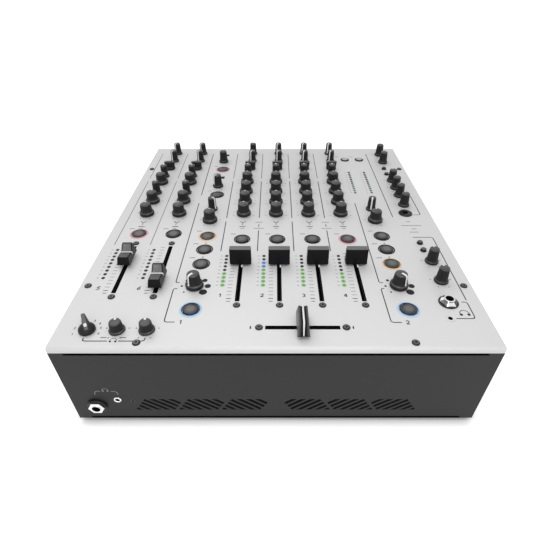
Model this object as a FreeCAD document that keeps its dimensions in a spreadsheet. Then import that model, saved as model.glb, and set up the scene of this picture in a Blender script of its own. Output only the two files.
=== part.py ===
import FreeCAD, Part
import Sketcher
import os
import re

# Driving dimensions in millimetres and degrees. Rows run from the panel's front edge to its rear, each by its
# step from the row before. Insets run inwards from the panel's sides.
SIZES = {
    # case
    "panel_width": 320,
    "panel_depth": 360,
    "panel_thickness": 2,
    "lip_height": 4.8,
    "bend_radius": 2.5,
    "body_height": 84,
    "wall": 1.5,
    "flange_width": 12,
    "lip_gap": 1.3,
    "gap_margin": 12,
    "foot_height": 4,
    "foot_radius": 9,
    "foot_draft": 18,
    "foot_inset": 24,
    # front vents
    "vent_bottom": 11.5,
    "vent_height": 14,
    "vent_group_width": 31,
    "vent_group_pitch": 34,
    "vent_lean": 9,
    "vent_first_x": 12.5,
    "slot_width": 2.6,
    "slot_pitch": 7.25,
    "slot_angle": 37.7,
    # columns of controls
    "column_x": 2.8,
    "column_gaps": 8,
    "column_margin": 26.8,
    "knob_offset": -2.5,
    "button_offset": -1.4,
    "send_offset": 1,
    "selector_offset": -0.5,
    "right_inset": 23.2,
    "socket_inset": 25.5,
    "mini_inset": 30.1,
    "phones_inset": 23.6,
    "phones_pitch": 21.5,
    # rows of the channels
    "cross_row": 20.3,
    "phones_row": 17.5,
    "fader_row": 81.7,
    "cue_row": 136,
    "eq_row": 182.6,
    "eq_pitch": 24.3,
    "trim_step": 17.9,
    "selector_step": 20.6,
    "send_step": 22.8,
    "send_pitch": 24.1,
    "rear_margin": 19.1,
    # rows of the outer channels
    "outer_fader_row": 91.3,
    "outer_cue_row": 145.3,
    "outer_low_step": 26.7,
    "outer_mid_step": 20.1,
    "outer_high_step": 25,
    # rows of the filters
    "filter_on_row": 39.3,
    "frequency_step": 27.7,
    "type_step": 30.1,
    "type_pitch": 22,
    "depth_step": 28.3,
    "resonance_step": 23.2,
    "route_step": 32.5,
    "mix_step": 20.8,
    "filter_cue_step": 45.4,
    "filter_send_step": 23.6,
    "low_button_row": 321,
    # rows of the right column
    "mini_row": 29.1,
    "phones_jack_step": 18.3,
    "level_step": 26.1,
    "level_pitch": 26.8,
    "lower_push_step": 17.1,
    "lower_push_pitch": 11.8,
    "insert_step": 54.8,
    "insert_level_step": 17.3,
    "return_step": 21.2,
    "return_pitch": 18.4,
    "upper_push_step": 18,
    "upper_push_pitch": 15.4,
    "booth_step": 19.4,
    "master_step": 24.4,
    # knobs
    "sides": 10,
    "stem_sides": 8,
    "hole_sides": 8,
    "knob_gap": 0.5,
    "stem_radius": 3,
    "stem_clearance": 0.3,
    "hole_clearance": 0.6,
    "skirt_draft": 18,
    "grip_draft": 3,
    "wide_skirt_radius": 7.4,
    "wide_skirt_height": 4.5,
    "wide_grip_radius": 5.9,
    "wide_height": 13.2,
    "slim_skirt_radius": 5.3,
    "slim_skirt_height": 2,
    "slim_grip_radius": 4.4,
    "slim_height": 14.6,
    "tall_skirt_radius": 5.9,
    "tall_skirt_height": 2,
    "tall_grip_radius": 4.75,
    "tall_height": 14.8,
    "short_skirt_radius": 5.9,
    "short_skirt_height": 2,
    "short_grip_radius": 5.1,
    "short_height": 9,
    "freq_skirt_radius": 7.4,
    "freq_skirt_height": 4,
    "freq_grip_radius": 6.3,
    "freq_height": 13.5,
    # selectors
    "selector_base_radius": 6.2,
    "selector_base_height": 4.5,
    "selector_height": 10,
    "wing_length": 12.6,
    "wing_base": 4.8,
    "wing_top": 3,
    "pointer_length": 14.8,
    "pointer_width": 8.4,
    "pointer_heel": 5,
    "pointer_waist": 5.5,
    "pointer_tip": 3,
    "pointer_draft": 4,
    "pointer_turn": 25,
    # buttons
    "cap_radius": 6.4,
    "cap_height": 1.3,
    "cap_sink": 1.2,
    "cap_dome": 0.6,
    "dome_draft": 58,
    "button_travel": 1,
    "button_clearance": 0.2,
    "ring_radius": 7.7,
    "ring_height": 0.5,
    "ring_clearance": 0.3,
    "push_radius": 2.5,
    "push_height": 2.5,
    "low_radius": 5.5,
    "low_height": 1.3,
    # faders
    "fader_travel": 60,
    "cross_travel": 45,
    "lever_length": 5,
    "lever_width": 1.2,
    "lever_clearance": 0.3,
    "lever_seat": 1,
    "slot_opening": 3.8,
    "slot_spare": 1,
    "cross_spare": 4.8,
    "frame_width": 9,
    "frame_height": 10,
    "frame_end": 7,
    "frame_floor": 2,
    "cap_lift": 3.5,
    "paddle_width": 18.5,
    "paddle_base": 8,
    "paddle_top": 5,
    "paddle_height": 14.2,
    "paddle_rest": 15.3,
    "saddle_width": 11,
    "saddle_length": 22.6,
    "saddle_height": 10.4,
    "saddle_front": 6.7,
    "saddle_dip": 5.4,
    "saddle_dip_place": 13,
    "saddle_end": 4.3,
    "saddle_bevel": 2.5,
    "saddle_a_rest": 10.6,
    "saddle_b_rest": -19.3,
    "blade_width": 9.2,
    "blade_length": 25,
    "blade_top": 16.6,
    "blade_height": 11.2,
    "groove_width": 3.6,
    "groove_depth": 1.6,
    # boards and inner parts
    "board_drop": 14,
    "board_left": 20,
    "board_right": 40,
    "board_front": 30,
    "board_back": 290,
    "board_thickness": 1.6,
    "pot_width": 11,
    "pot_height": 7,
    "switch_width": 8,
    "switch_height": 4,
    "main_board_lift": 8,
    "main_board_depth": 120,
    "main_board_row": 200,
    "standoff_radius": 3,
    "standoff_inset": 15,
    "supply_inset": 15,
    "supply_row": 215,
    "supply_width": 80,
    "supply_depth": 110,
    "supply_height": 32,
    "supply_gap": 13.5,
    # meters
    "led_length": 3.4,
    "led_width": 2,
    "led_height": 0.5,
    "led_pitch": 5.1,
    "led_row": 68.2,
    "outer_led_row": 77.6,
    "led_offset": -13.4,
    "outer_led_offset": -14.2,
    "master_led_row": 230,
    "master_led_pitch": 4.8,
    "master_left_offset": -13.2,
    "master_right_offset": 5.3,
    # sockets
    "jack_radius": 3.25,
    "jack_depth": 14,
    "jack_nut_radius": 6.6,
    "jack_nut_height": 3,
    "jack_neck_wall": 1.4,
    "jack_neck_clearance": 0.2,
    "jack_washer_radius": 7.8,
    "jack_washer_height": 1.5,
    "jack_body_width": 14,
    "jack_body_length": 16,
    "front_jack_inset": 19.3,
    "front_jack_drop": 66,
    "mini_radius": 3,
    "mini_height": 1,
    "mini_hole_radius": 1.8,
    "front_mini_inset": 36.8,
    "front_mini_drop": 58.6,
    "rear_projection": 7,
    "phono_radius": 4.2,
    "phono_base_radius": 5.6,
    "phono_base_height": 2,
    "phono_pitch": 16,
    "phono_inset": 24,
    "phono_low": 26,
    "phono_row_pitch": 20,
    "xlr_radius": 11,
    "xlr_bore_radius": 9.4,
    "xlr_depth": 14,
    "xlr_plate_width": 26,
    "xlr_plate_height": 31,
    "xlr_plate_thickness": 2,
    "xlr_x": 22,
    "xlr_pitch": 34,
    "xlr_z": 48,
    "mains_inset": 42,
    "inlet_z": 34,
    "inlet_width": 31,
    "inlet_height": 24,
    "inlet_depth": 20,
    "inlet_step": 1,
    "inlet_rim": 3.5,
    "inlet_recess": 15,
    "rocker_z": 62,
    "rocker_width": 13,
    "rocker_height": 19,
    "rocker_rise": 3.4,
    "rocker_dip": 1.4,
    "rocker_sink": 1,
    "rocker_clearance": 0.4,
    # screws
    "screw_radius": 2.9,
    "screw_head": 1.2,
    "screw_inset": 6.5,
    "side_screw_row": 67.3,
    "side_screw_pitch": 225.2,
    "front_screw_x": 98,
    "front_screw_row": 5.4,
    "fader_screw_reach": 4.5,
}

TOP = "(foot_height + body_height)"
FLOOR = "(foot_height + wall)"
HALF_WIDTH = "(panel_width / 2)"
FRONT = "((jack_washer_height + jack_nut_height - rear_projection - panel_depth) / 2)"
REAR = f"({FRONT} + panel_depth - panel_thickness)"
BOARD = f"({TOP} - panel_thickness - board_drop)"
STEM = "(knob_gap + panel_thickness + board_drop - pot_height - stem_clearance)"
PLUNGER = "(panel_thickness + board_drop - switch_height - cap_sink - button_travel - button_clearance)"
SLOT = "(fader_travel + lever_length + slot_spare)"
CROSS_SLOT = "(cross_travel + lever_length + cross_spare)"
GROOVE = "(lever_width + 2 * lever_clearance)"
LEVER = "(cap_lift + panel_thickness + frame_height - frame_floor - lever_clearance)"
NECK = "(jack_radius + jack_neck_wall)"
X_AXIS = FreeCAD.Vector(1, 0, 0)
Y_AXIS = FreeCAD.Vector(0, 1, 0)
Z_AXIS = FreeCAD.Vector(0, 0, 1)
HEXAGON = "6"
ROUND = "16"
TOUCH = 0.001
TO_FRONT = (X_AXIS, 90)
TO_REAR = (X_AXIS, -90)
UPSIDE_DOWN = (X_AXIS, 180)


def chain(first, *steps):
    """Rows of a column, each by its step from the row before."""
    rows = [first]
    for step in steps:
        rows.append(f"{rows[-1]} + {step}")
    return rows


*EQ_ROWS, TRIM_ROW, SELECTOR_ROW, LOWER_SEND_ROW, UPPER_SEND_ROW = chain(
    "eq_row", "eq_pitch", "eq_pitch", "eq_pitch", "trim_step", "selector_step", "send_step", "send_pitch")
OUTER_EQ_ROW, OUTER_LOW_ROW, OUTER_MID_ROW, OUTER_HIGH_ROW, OUTER_TRIM_ROW = chain(
    "eq_row", "outer_low_step", "outer_mid_step", "outer_high_step", "trim_step")
ON_ROW, FREQUENCY_ROW, *TYPE_ROWS, DEPTH_ROW, RESONANCE_ROW, ROUTE_ROW = chain(
    "filter_on_row", "frequency_step", "type_step", "type_pitch", "type_pitch", "depth_step", "resonance_step",
    "route_step")
MIX_ROW, FILTER_CUE_ROW, FILTER_SEND_ROW = chain(
    f"{ROUTE_ROW} + mix_step", "filter_cue_step", "filter_send_step")
MINI_ROW, PHONES_JACK_ROW, *LEVEL_ROWS, LOW_PUSH_1, LOW_PUSH_2, INSERT_ROW = chain(
    "mini_row", "phones_jack_step", "level_step", "level_pitch", "lower_push_step", "lower_push_pitch",
    "insert_step")
*RETURN_ROWS, HIGH_PUSH_1, HIGH_PUSH_2, BOOTH_ROW, MASTER_ROW = chain(
    f"{INSERT_ROW} + insert_level_step", "return_step", "return_pitch", "return_pitch", "upper_push_step",
    "upper_push_pitch", "booth_step", "master_step")
# The rows keep their proportions when the panel's depth changes
STRETCH = f"(panel_depth / ({UPPER_SEND_ROW} + rear_margin))"
PITCH = "((panel_width - 2 * column_margin) / column_gaps)"

OUTER = (-4, -3)
FILTERS = (-2, 3)
CHANNELS = (-1, 0, 1, 2)
INPUTS = OUTER + CHANNELS

doc = FreeCAD.newDocument("dj_mixer")
sheet = doc.addObject("Spreadsheet::Sheet", "dims")
for row, (alias, value) in enumerate(SIZES.items(), start=1):
    sheet.set(f"A{row}", str(value))
    sheet.setAlias(f"A{row}", alias)
doc.recompute()

nodes = []


def bound(text):
    """Write an expression's size names as cells of the sheet."""
    return re.sub(r"[a-z]\w*", lambda m: f"dims.{m[0]}" if m[0] in SIZES else m[0], str(text))


def bind(item, **sizes):
    """Tie properties of an object to expressions; a double underscore stands for a dot."""
    for name, text in sizes.items():
        item.setExpression(name.replace("__", "."), bound(text))
    return item


def make(kind, name, **sizes):
    return bind(doc.addObject(kind, name), **sizes)


def at(item, x=0, y=0, z=0, turn=None):
    """Place an object by expressions, after an optional turn (axis, degrees)."""
    if turn:
        item.Placement = FreeCAD.Placement(FreeCAD.Vector(), FreeCAD.Rotation(*turn))
    return bind(item, Placement__Base__x=x, Placement__Base__y=y, Placement__Base__z=z)


def box(name, length, width, height, x, y, z):
    """Box centred on x and y, standing on z."""
    solid = make("Part::Box", name, Length=length, Width=width, Height=height)
    return at(solid, f"{x} - ({length}) / 2", f"{y} - ({width}) / 2", z)


def prism(name, radius, height, z=0, sides="sides"):
    return at(make("Part::Prism", name, Polygon=sides, Circumradius=radius, Height=height), 0, 0, z)


def fuse(name, shapes):
    joined = doc.addObject("Part::MultiFuse", name)
    joined.Shapes = shapes
    joined.Refine = True
    return joined


def cut(name, base, tool):
    result = doc.addObject("Part::Cut", name)
    result.Base = base
    result.Tool = tool
    return result


def group(name, items):
    bunch = doc.addObject("Part::Compound", name)
    bunch.Links = items
    return bunch


def copy(name, master, x, y, z, turn=None):
    """Another instance of a master shape at its own place."""
    link = doc.addObject("App::Link", name)
    link.LinkedObject = master
    link.LinkTransform = True
    return at(link, x, y, z, turn)


def node(name, item):
    item.Label = name
    nodes.append(item)
    return item


def sheet_value(text):
    """Number that an expression of sizes stands for."""
    return float(sheet.evalExpression(bound(text)))


def outline(body, plane, points):
    """Closed sketch of straight edges whose corners are bound to the sheet; corners are never negative."""
    sketch = body.newObject("Sketcher::SketchObject", f"{body.Name}_outline")
    origin = next(f for f in body.Origin.OriginFeatures if f.Role == plane)
    sketch.AttachmentSupport = (origin, [""])
    sketch.MapMode = "FlatFace"
    spots = [FreeCAD.Vector(sheet_value(u), sheet_value(v), 0) for u, v in points]
    for i, spot in enumerate(spots):
        sketch.addGeometry(Part.LineSegment(spot, spots[(i + 1) % len(spots)]), False)
    for i in range(len(points)):
        sketch.addConstraint(Sketcher.Constraint("Coincident", i, 2, (i + 1) % len(points), 1))
    for i, corner in enumerate(points):
        for kind, axis, text in (("DistanceX", -2, corner[0]), ("DistanceY", -1, corner[1])):
            if str(text) == "0":
                sketch.addConstraint(Sketcher.Constraint("PointOnObject", i, 1, axis))
                continue
            index = sketch.addConstraint(Sketcher.Constraint(kind, -1, 1, i, 1, sheet_value(text)))
            sketch.setExpression(f"Constraints[{index}]", bound(text))
    return sketch


def padded(name, plane, points, length):
    """Body made by padding an outline evenly to both sides of its plane."""
    body = doc.addObject("PartDesign::Body", name)
    pad = body.newObject("PartDesign::Pad", f"{name}_pad")
    pad.Profile = outline(body, plane, points)
    pad.SideType = "Symmetric"
    bind(pad, Length=length)
    doc.recompute()
    return body


def leaning(body, angle):
    """Draft a body's upright faces inwards, from its foot up."""
    base = body.Tip
    slopes = [(f"Face{i}", face.normalAt(0, 0).z) for i, face in enumerate(base.Shape.Faces, start=1)]
    draft = body.newObject("PartDesign::Draft", f"{body.Name}_draft")
    draft.Base = (base, [name for name, slope in slopes if abs(slope) < 0.5])
    draft.NeutralPlane = (base, [name for name, slope in slopes if slope < -0.5])
    bind(draft, Angle=angle)
    return body


def tapered(name, radius, height, angle, z=0):
    """Faceted body that narrows upwards, as moulded knobs, caps and feet do."""
    body = doc.addObject("PartDesign::Body", name)
    bar = body.newObject("PartDesign::AdditivePrism", f"{name}_bar")
    bind(bar, Polygon="sides", Circumradius=radius, Height=height)
    doc.recompute()
    return at(leaning(body, angle), 0, 0, z)


def column(k, offset="0"):
    """Place across the panel: the fader line of column k and an offset from it."""
    return f"(column_x + {k} * {PITCH} + {offset})"


def row_y(row):
    """Place of a row of controls on the panel."""
    return f"({FRONT} + ({row}) * {STRETCH})"


# Masters: every knob stands on z = 0 with its stem below, so that a copy is placed by its seat
def knob(name, kind, stem=True):
    """Knob with a sloped skirt, a faceted grip and, when it turns in the model, its shaft."""
    skirt = tapered(f"{name}_skirt", f"{kind}_skirt_radius", f"{kind}_skirt_height", "skirt_draft")
    grip_height = f"{kind}_height - {kind}_skirt_height"
    grip = tapered(f"{name}_grip", f"{kind}_grip_radius", grip_height, "grip_draft", f"{kind}_skirt_height")
    shapes = [skirt, grip]
    if stem:
        shapes.append(prism(f"{name}_stem", "stem_radius", STEM, f"-{STEM}", "stem_sides"))
    return fuse(name, shapes)


def trapezium(base, top, height):
    """Outline of a block that narrows evenly from its base to its top."""
    lean = f"({base} - {top}) / 2"
    return [("0", "0"), (base, "0"), (f"{base} - {lean}", height), (lean, height)]


def selector(name, grip):
    """Rotary selector: its grip on a round, sloped base."""
    base = tapered(f"{name}_base", "selector_base_radius", "selector_base_height", "skirt_draft")
    return fuse(name, [base, grip])


def wing_grip():
    """Straight wing that lies across the selector."""
    block = padded("wing", "YZ_Plane", trapezium("wing_base", "wing_top", "selector_height"), "wing_length")
    return at(block, 0, "-wing_base / 2", 0)


def pointer_grip():
    """Beak that narrows from its round heel to a tip at the rear."""
    mid = "pointer_width / 2"
    heel = "(pointer_width - pointer_heel) / 2"
    tip = "(pointer_width - pointer_tip) / 2"
    plan = [(heel, "0"), (f"{heel} + pointer_heel", "0"), ("pointer_width", "pointer_waist"),
            (f"{tip} + pointer_tip", "pointer_length"), (tip, "pointer_length"), ("0", "pointer_waist")]
    beak = leaning(padded("pointer", "XY_Plane", plan, "selector_height"), "pointer_draft")
    return at(beak, f"-{mid}", "-pointer_length / 2", "selector_height / 2")


def button(name, kind, sink="0"):
    """Low push button with a domed top; one that sinks into the panel has a plunger down to its switch."""
    rim = f"{kind}_height - cap_dome"
    shapes = [prism(f"{name}_wall", f"{kind}_radius", f"{rim} + {sink}", f"-{sink}"),
              tapered(f"{name}_dome", f"{kind}_radius", "cap_dome", "dome_draft", rim)]
    if sink != "0":
        shapes.append(prism(f"{name}_stem", "stem_radius", PLUNGER, f"-{sink} - {PLUNGER}", "stem_sides"))
    return fuse(name, shapes)


def ring(name):
    """Translucent ring that a lit button sits in."""
    outer = prism(f"{name}_outer", "ring_radius", "ring_height")
    inner = prism(f"{name}_inner", "cap_radius + ring_clearance", "ring_height")
    return cut(name, outer, inner)


def lever(name, length, width):
    return box(name, length, width, f"{LEVER} + lever_seat", 0, 0, f"-{LEVER}")


def paddle_cap():
    """Wide thin paddle that narrows to its top, on its lever."""
    side = trapezium("paddle_base", "paddle_top", "paddle_height")
    cap = at(padded("paddle_block", "YZ_Plane", side, "paddle_width"), 0, "-paddle_base / 2", 0)
    return fuse("paddle", [cap, lever("paddle_lever", "lever_width", "lever_length")])


def saddle_cap():
    """Cap with a low front, a dip across it for the finger and a high back, on its lever."""
    back = "saddle_length - saddle_bevel"
    side = [("0", "0"), ("saddle_length", "0"), (back, "saddle_height"), (f"{back} - saddle_bevel", "saddle_height"),
            ("saddle_dip_place", "saddle_height - saddle_dip"), ("saddle_end", "saddle_front"),
            ("saddle_bevel", "saddle_front")]
    cap = at(padded("saddle_block", "YZ_Plane", side, "saddle_width"), 0, "-saddle_length / 2", 0)
    return fuse("saddle", [cap, lever("saddle_lever", "lever_width", "lever_length")])


def blade_cap():
    """Long cap that narrows to its top, grooved along it, on a lever that slides across the panel."""
    side = trapezium("blade_length", "blade_top", "blade_height")
    block = at(padded("blade_block", "YZ_Plane", side, "blade_width"), 0, "-blade_length / 2", 0)
    notch = [("0", "groove_depth"), ("groove_width / 2", "0"), ("groove_width", "groove_depth")]
    groove = at(padded("blade_groove", "XZ_Plane", notch, "blade_length"), "-groove_width / 2", 0,
                "blade_height - groove_depth")
    return fuse("blade", [cut("blade_cap", block, groove), lever("blade_lever", "lever_length", "lever_width")])


wide_turning = knob("wide_turning", "wide")
slim_turning = knob("slim_turning", "slim")
freq_turning = knob("freq_turning", "freq")
wide_fixed = knob("wide_fixed", "wide", stem=False)
slim_fixed = knob("slim_fixed", "slim", stem=False)
tall_fixed = knob("tall_fixed", "tall", stem=False)
short_fixed = knob("short_fixed", "short", stem=False)
wing_selector = selector("wing_selector", wing_grip())
pointer_selector = selector("pointer_selector", pointer_grip())
cap_button = button("cap_button", "cap", "cap_sink")
still_button = button("still_button", "cap")
low_button = button("low_button", "low")
push_button = button("push_button", "push")
light_ring = ring("light_ring")
paddle = paddle_cap()
saddle = saddle_cap()
blade = blade_cap()
shaft_hole = prism("shaft_hole", "stem_radius + hole_clearance", "3 * panel_thickness", "-2 * panel_thickness",
                   "hole_sides")
cap_hole = prism("cap_hole", "cap_radius + ring_clearance", "3 * panel_thickness", "-2 * panel_thickness")
pot = box("pot", "pot_width", "pot_width", "pot_height", 0, 0, 0)
switch = box("switch", "switch_width", "switch_width", "switch_height", 0, 0, 0)
led = box("led", "led_length", "led_width", "led_height", 0, 0, 0)
screw = prism("screw", "screw_radius", "screw_head", sides=HEXAGON)

cutouts = []
pots = []
switches = []
rings = []
screws = []
frames = []


def turning_knob(name, master, x, row):
    """Jointed knob with its hole in the panel and its potentiometer on the board."""
    node(name, copy(name, master, x, row_y(row), f"{TOP} + knob_gap"))
    cutouts.append(copy(f"{name}_hole", shaft_hole, x, row_y(row), TOP))
    pots.append(copy(f"{name}_pot", pot, x, row_y(row), BOARD))


def travelling_button(name, x, row):
    """Jointed button with its ring, its hole in the panel and its switch on the board."""
    node(name, copy(name, cap_button, x, row_y(row), TOP))
    cutouts.append(copy(f"{name}_hole", cap_hole, x, row_y(row), TOP))
    rings.append(copy(f"{name}_ring", light_ring, x, row_y(row), TOP))
    switches.append(copy(f"{name}_switch", switch, x, row_y(row), BOARD))


def slide_frame(name, width, length, slot_width, slot_length, x, y):
    """Slide potentiometer frame under the panel, grooved for the lever."""
    low = f"{TOP} - panel_thickness - frame_height"
    shell = box(f"{name}_shell", width, length, "frame_height", x, y, low)
    groove = box(f"{name}_groove", slot_width, slot_length, "frame_height", x, y, f"{low} + frame_floor")
    return cut(name, shell, groove)


def panel_slot(name, length, width, x, y):
    return box(name, length, width, "3 * panel_thickness", x, y, f"{TOP} - 2 * panel_thickness")


def fader(name, master, x, row, rest):
    """Fader across the depth: cap and lever, panel slot, slide frame and its two screws."""
    y = row_y(row)
    node(name, copy(name, master, x, f"{y} + {rest}", f"{TOP} + cap_lift"))
    cutouts.append(panel_slot(f"{name}_slot", "slot_opening", SLOT, x, y))
    frames.append(slide_frame(f"{name}_frame", "frame_width", f"{SLOT} + 2 * frame_end", GROOVE, SLOT, x, y))
    for end, sign in (("near", "-"), ("far", "+")):
        screw_y = f"{y} {sign} ({SLOT} / 2 + fader_screw_reach)"
        screws.append(copy(f"{name}_{end}_screw", screw, x, screw_y, TOP))


# Channels with their faders, knobs and cue buttons
for number, k in enumerate(CHANNELS, start=1):
    fader(f"fader_{number}", paddle, column(k), "fader_row", "paddle_rest")
    turning_knob(f"trim_knob_{number}", slim_turning, column(k, "knob_offset"), TRIM_ROW)
    for band, row in zip(("low", "low_mid", "high_mid", "high"), EQ_ROWS):
        turning_knob(f"{band}_knob_{number}", wide_turning, column(k, "knob_offset"), row)
    travelling_button(f"cue_button_{number}", column(k, "button_offset"), "cue_row")
for letter, k in zip("ab", OUTER):
    fader(f"fader_{letter}", saddle, column(k), "outer_fader_row", f"saddle_{letter}_rest")
    travelling_button(f"cue_button_{letter}", column(k, "button_offset"), "outer_cue_row")

# Filter sections
for number, k in enumerate(FILTERS, start=1):
    turning_knob(f"filter_{number}_frequency_knob", freq_turning, column(k, "knob_offset"), FREQUENCY_ROW)
    travelling_button(f"filter_{number}_on_button", column(k, "button_offset"), ON_ROW)

# Crossfader, across the width
cross_x = column(0.5)
cross_y = row_y("cross_row")
node("crossfader", copy("crossfader", blade, cross_x, cross_y, f"{TOP} + cap_lift"))
cutouts.append(panel_slot("crossfader_slot", CROSS_SLOT, "slot_opening", cross_x, cross_y))
frames.append(slide_frame("crossfader_frame", f"{CROSS_SLOT} + 2 * frame_end", "frame_width", CROSS_SLOT,
                          GROOVE, cross_x, cross_y))
for end, sign in (("left", "-"), ("right", "+")):
    screw_x = f"{cross_x} {sign} ({CROSS_SLOT} / 2 + fader_screw_reach)"
    screws.append(copy(f"crossfader_{end}_screw", screw, screw_x, cross_y, TOP))


def still(name, *kinds):
    """Node of controls that stand on the panel, as (master, places) pairs."""
    items = []
    for master, places in kinds:
        for x, row in places:
            items.append(copy(f"{name}_{len(items) + 1}", master, x, row_y(row), TOP))
    return node(name, group(f"{name}_group", items))


# Controls that share a node with their own kind
right_x = f"({HALF_WIDTH} - right_inset)"
socket_x = f"({HALF_WIDTH} - socket_inset)"
phones_x = [f"(phones_inset + {step} * phones_pitch - {HALF_WIDTH})" for step in range(3)]
sends = [(column(k, "send_offset"), row) for k in INPUTS for row in (LOWER_SEND_ROW, UPPER_SEND_ROW)]
outer_slims = [(column(k, "knob_offset"), row) for k in OUTER for row in (OUTER_MID_ROW, OUTER_TRIM_ROW)]
resonances = [(column(k, "knob_offset"), RESONANCE_ROW) for k in FILTERS]
still("slim_knobs", (slim_fixed, sends + outer_slims + resonances))
outer_rows = (OUTER_EQ_ROW, OUTER_LOW_ROW, OUTER_HIGH_ROW)
outer_wides = [(column(k, "knob_offset"), row) for k in OUTER for row in outer_rows]
depths = [(column(k, "knob_offset"), DEPTH_ROW) for k in FILTERS]
still("wide_knobs", (wide_fixed, outer_wides + depths))
right_talls = [(right_x, row) for row in LEVEL_ROWS + RETURN_ROWS + [BOOTH_ROW, MASTER_ROW]]
filter_talls = [(column(FILTERS[0], "knob_offset"), row) for row in (MIX_ROW, FILTER_SEND_ROW)]
phones_talls = [(x, "phones_row") for x in phones_x[1:]]
still("tall_knobs", (tall_fixed, right_talls + filter_talls), (short_fixed, phones_talls))
wings = [copy(f"input_selector_{i}", wing_selector, column(k, "selector_offset"), row_y(SELECTOR_ROW), TOP)
         for i, k in enumerate(INPUTS, start=1)]
phones_selector = copy("phones_selector", pointer_selector, phones_x[0], row_y("phones_row"), TOP,
                       (Z_AXIS, sheet_value("pointer_turn")))
node("selector_knobs", group("selector_knobs_group", wings + [phones_selector]))
lit_places = [(column(k, "button_offset"), row) for k in FILTERS for row in TYPE_ROWS]
lit_places += [(column(FILTERS[0], "button_offset"), row) for row in (ROUTE_ROW, FILTER_CUE_ROW)]
low_places = [(column(FILTERS[1], f"master_{side}_offset"), "low_button_row") for side in ("left", "right")]
push_places = [(socket_x, row) for row in (LOW_PUSH_1, LOW_PUSH_2, HIGH_PUSH_1, HIGH_PUSH_2)]
still("panel_buttons", (still_button, lit_places), (low_button, low_places), (push_button, push_places))
for i, (x, row) in enumerate(lit_places, start=1):
    rings.append(copy(f"still_ring_{i}", light_ring, x, row_y(row), TOP))

# Level meters: light-emitting diodes in columns
meters = [(column(k, "led_offset"), "led_row", "led_pitch", 9) for k in CHANNELS]
meters += [(column(k, "outer_led_offset"), "outer_led_row", "led_pitch", 9) for k in OUTER]
meters += [(column(FILTERS[1], f"master_{side}_offset"), "master_led_row", "master_led_pitch", 12)
           for side in ("left", "right")]
led_places = [(x, f"{first} + {step} * {pitch}") for x, first, pitch, count in meters for step in range(count)]
still("meter_leds", (led, led_places))


# Sockets: the axis is +Z at the mouth, the body below the panel
def jack(name):
    """Panel jack: hexagon nut on a washer, neck through the sheet, body below and a bore through all."""
    height = "(jack_washer_height + jack_nut_height)"
    shapes = [prism(f"{name}_nut", "jack_nut_radius", height, sides=HEXAGON),
              prism(f"{name}_washer", "jack_washer_radius", "jack_washer_height", sides=ROUND),
              prism(f"{name}_neck", NECK, "panel_thickness", "-panel_thickness", "hole_sides"),
              box(f"{name}_body", "jack_body_width", "jack_body_width", "jack_body_length", 0, 0,
                  "-jack_body_length - panel_thickness")]
    bore = make("Part::Cylinder", f"{name}_bore", Radius="jack_radius", Height=f"jack_depth + {height}")
    return cut(name, fuse(f"{name}_solid", shapes), at(bore, 0, 0, "-jack_depth"))


def mini_socket(name):
    """Small socket: a ring that stands on the panel."""
    rim = prism(f"{name}_rim", "mini_radius", "mini_height", sides="hole_sides")
    return cut(name, rim, prism(f"{name}_hole", "mini_hole_radius", "mini_height", sides="stem_sides"))


jack_master = jack("jack")
mini_master = mini_socket("mini")
front_jack_x = f"(front_jack_inset - {HALF_WIDTH})"
front_jack_z = f"({TOP} - front_jack_drop)"
sockets = [copy("front_jack", jack_master, front_jack_x, FRONT, front_jack_z, TO_FRONT),
           copy("front_mini", mini_master, f"front_mini_inset - {HALF_WIDTH}", FRONT,
                f"{TOP} - front_mini_drop", TO_FRONT),
           copy("phones_jack", jack_master, socket_x, row_y(PHONES_JACK_ROW), TOP),
           copy("insert_jack", jack_master, socket_x, row_y(INSERT_ROW), TOP),
           copy("top_mini", mini_master, f"{HALF_WIDTH} - mini_inset", row_y(MINI_ROW), TOP)]
node("jack_sockets", group("jack_sockets_group", sockets))
neck_hole = at(make("Part::Cylinder", "neck_hole", Radius=f"{NECK} + jack_neck_clearance",
                    Height="4 * panel_thickness"), 0, 0, "-2 * panel_thickness")
for name, row in (("phones", PHONES_JACK_ROW), ("insert", INSERT_ROW)):
    cutouts.append(copy(f"{name}_neck_hole", neck_hole, socket_x, row_y(row), TOP))

# Top panel: folded sheet with a lip at the front and the rear
section = [("0", "0"), ("0", "lip_height"), ("panel_depth", "lip_height"), ("panel_depth", "0"),
           ("panel_depth - panel_thickness", "0"),
           ("panel_depth - panel_thickness", "lip_height - panel_thickness"),
           ("panel_thickness", "lip_height - panel_thickness"), ("panel_thickness", "0")]
panel_sheet = padded("panel_sheet", "YZ_Plane", section, "panel_width")
panel_pad = panel_sheet.Tip
crest = max(edge.CenterOfMass.z for edge in panel_pad.Shape.Edges)
bends = [f"Edge{i}" for i, edge in enumerate(panel_pad.Shape.Edges, start=1)
         if abs(edge.CenterOfMass.x) < TOUCH and abs(edge.CenterOfMass.z - crest) < TOUCH]
bend = panel_sheet.newObject("PartDesign::Fillet", "panel_bends")
bend.Base = (panel_pad, bends)
bind(bend, Radius="bend_radius")
at(panel_sheet, 0, FRONT, f"{TOP} - lip_height")
node("top_panel", cut("top_panel_cut", panel_sheet, group("panel_cutouts", cutouts)))

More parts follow.
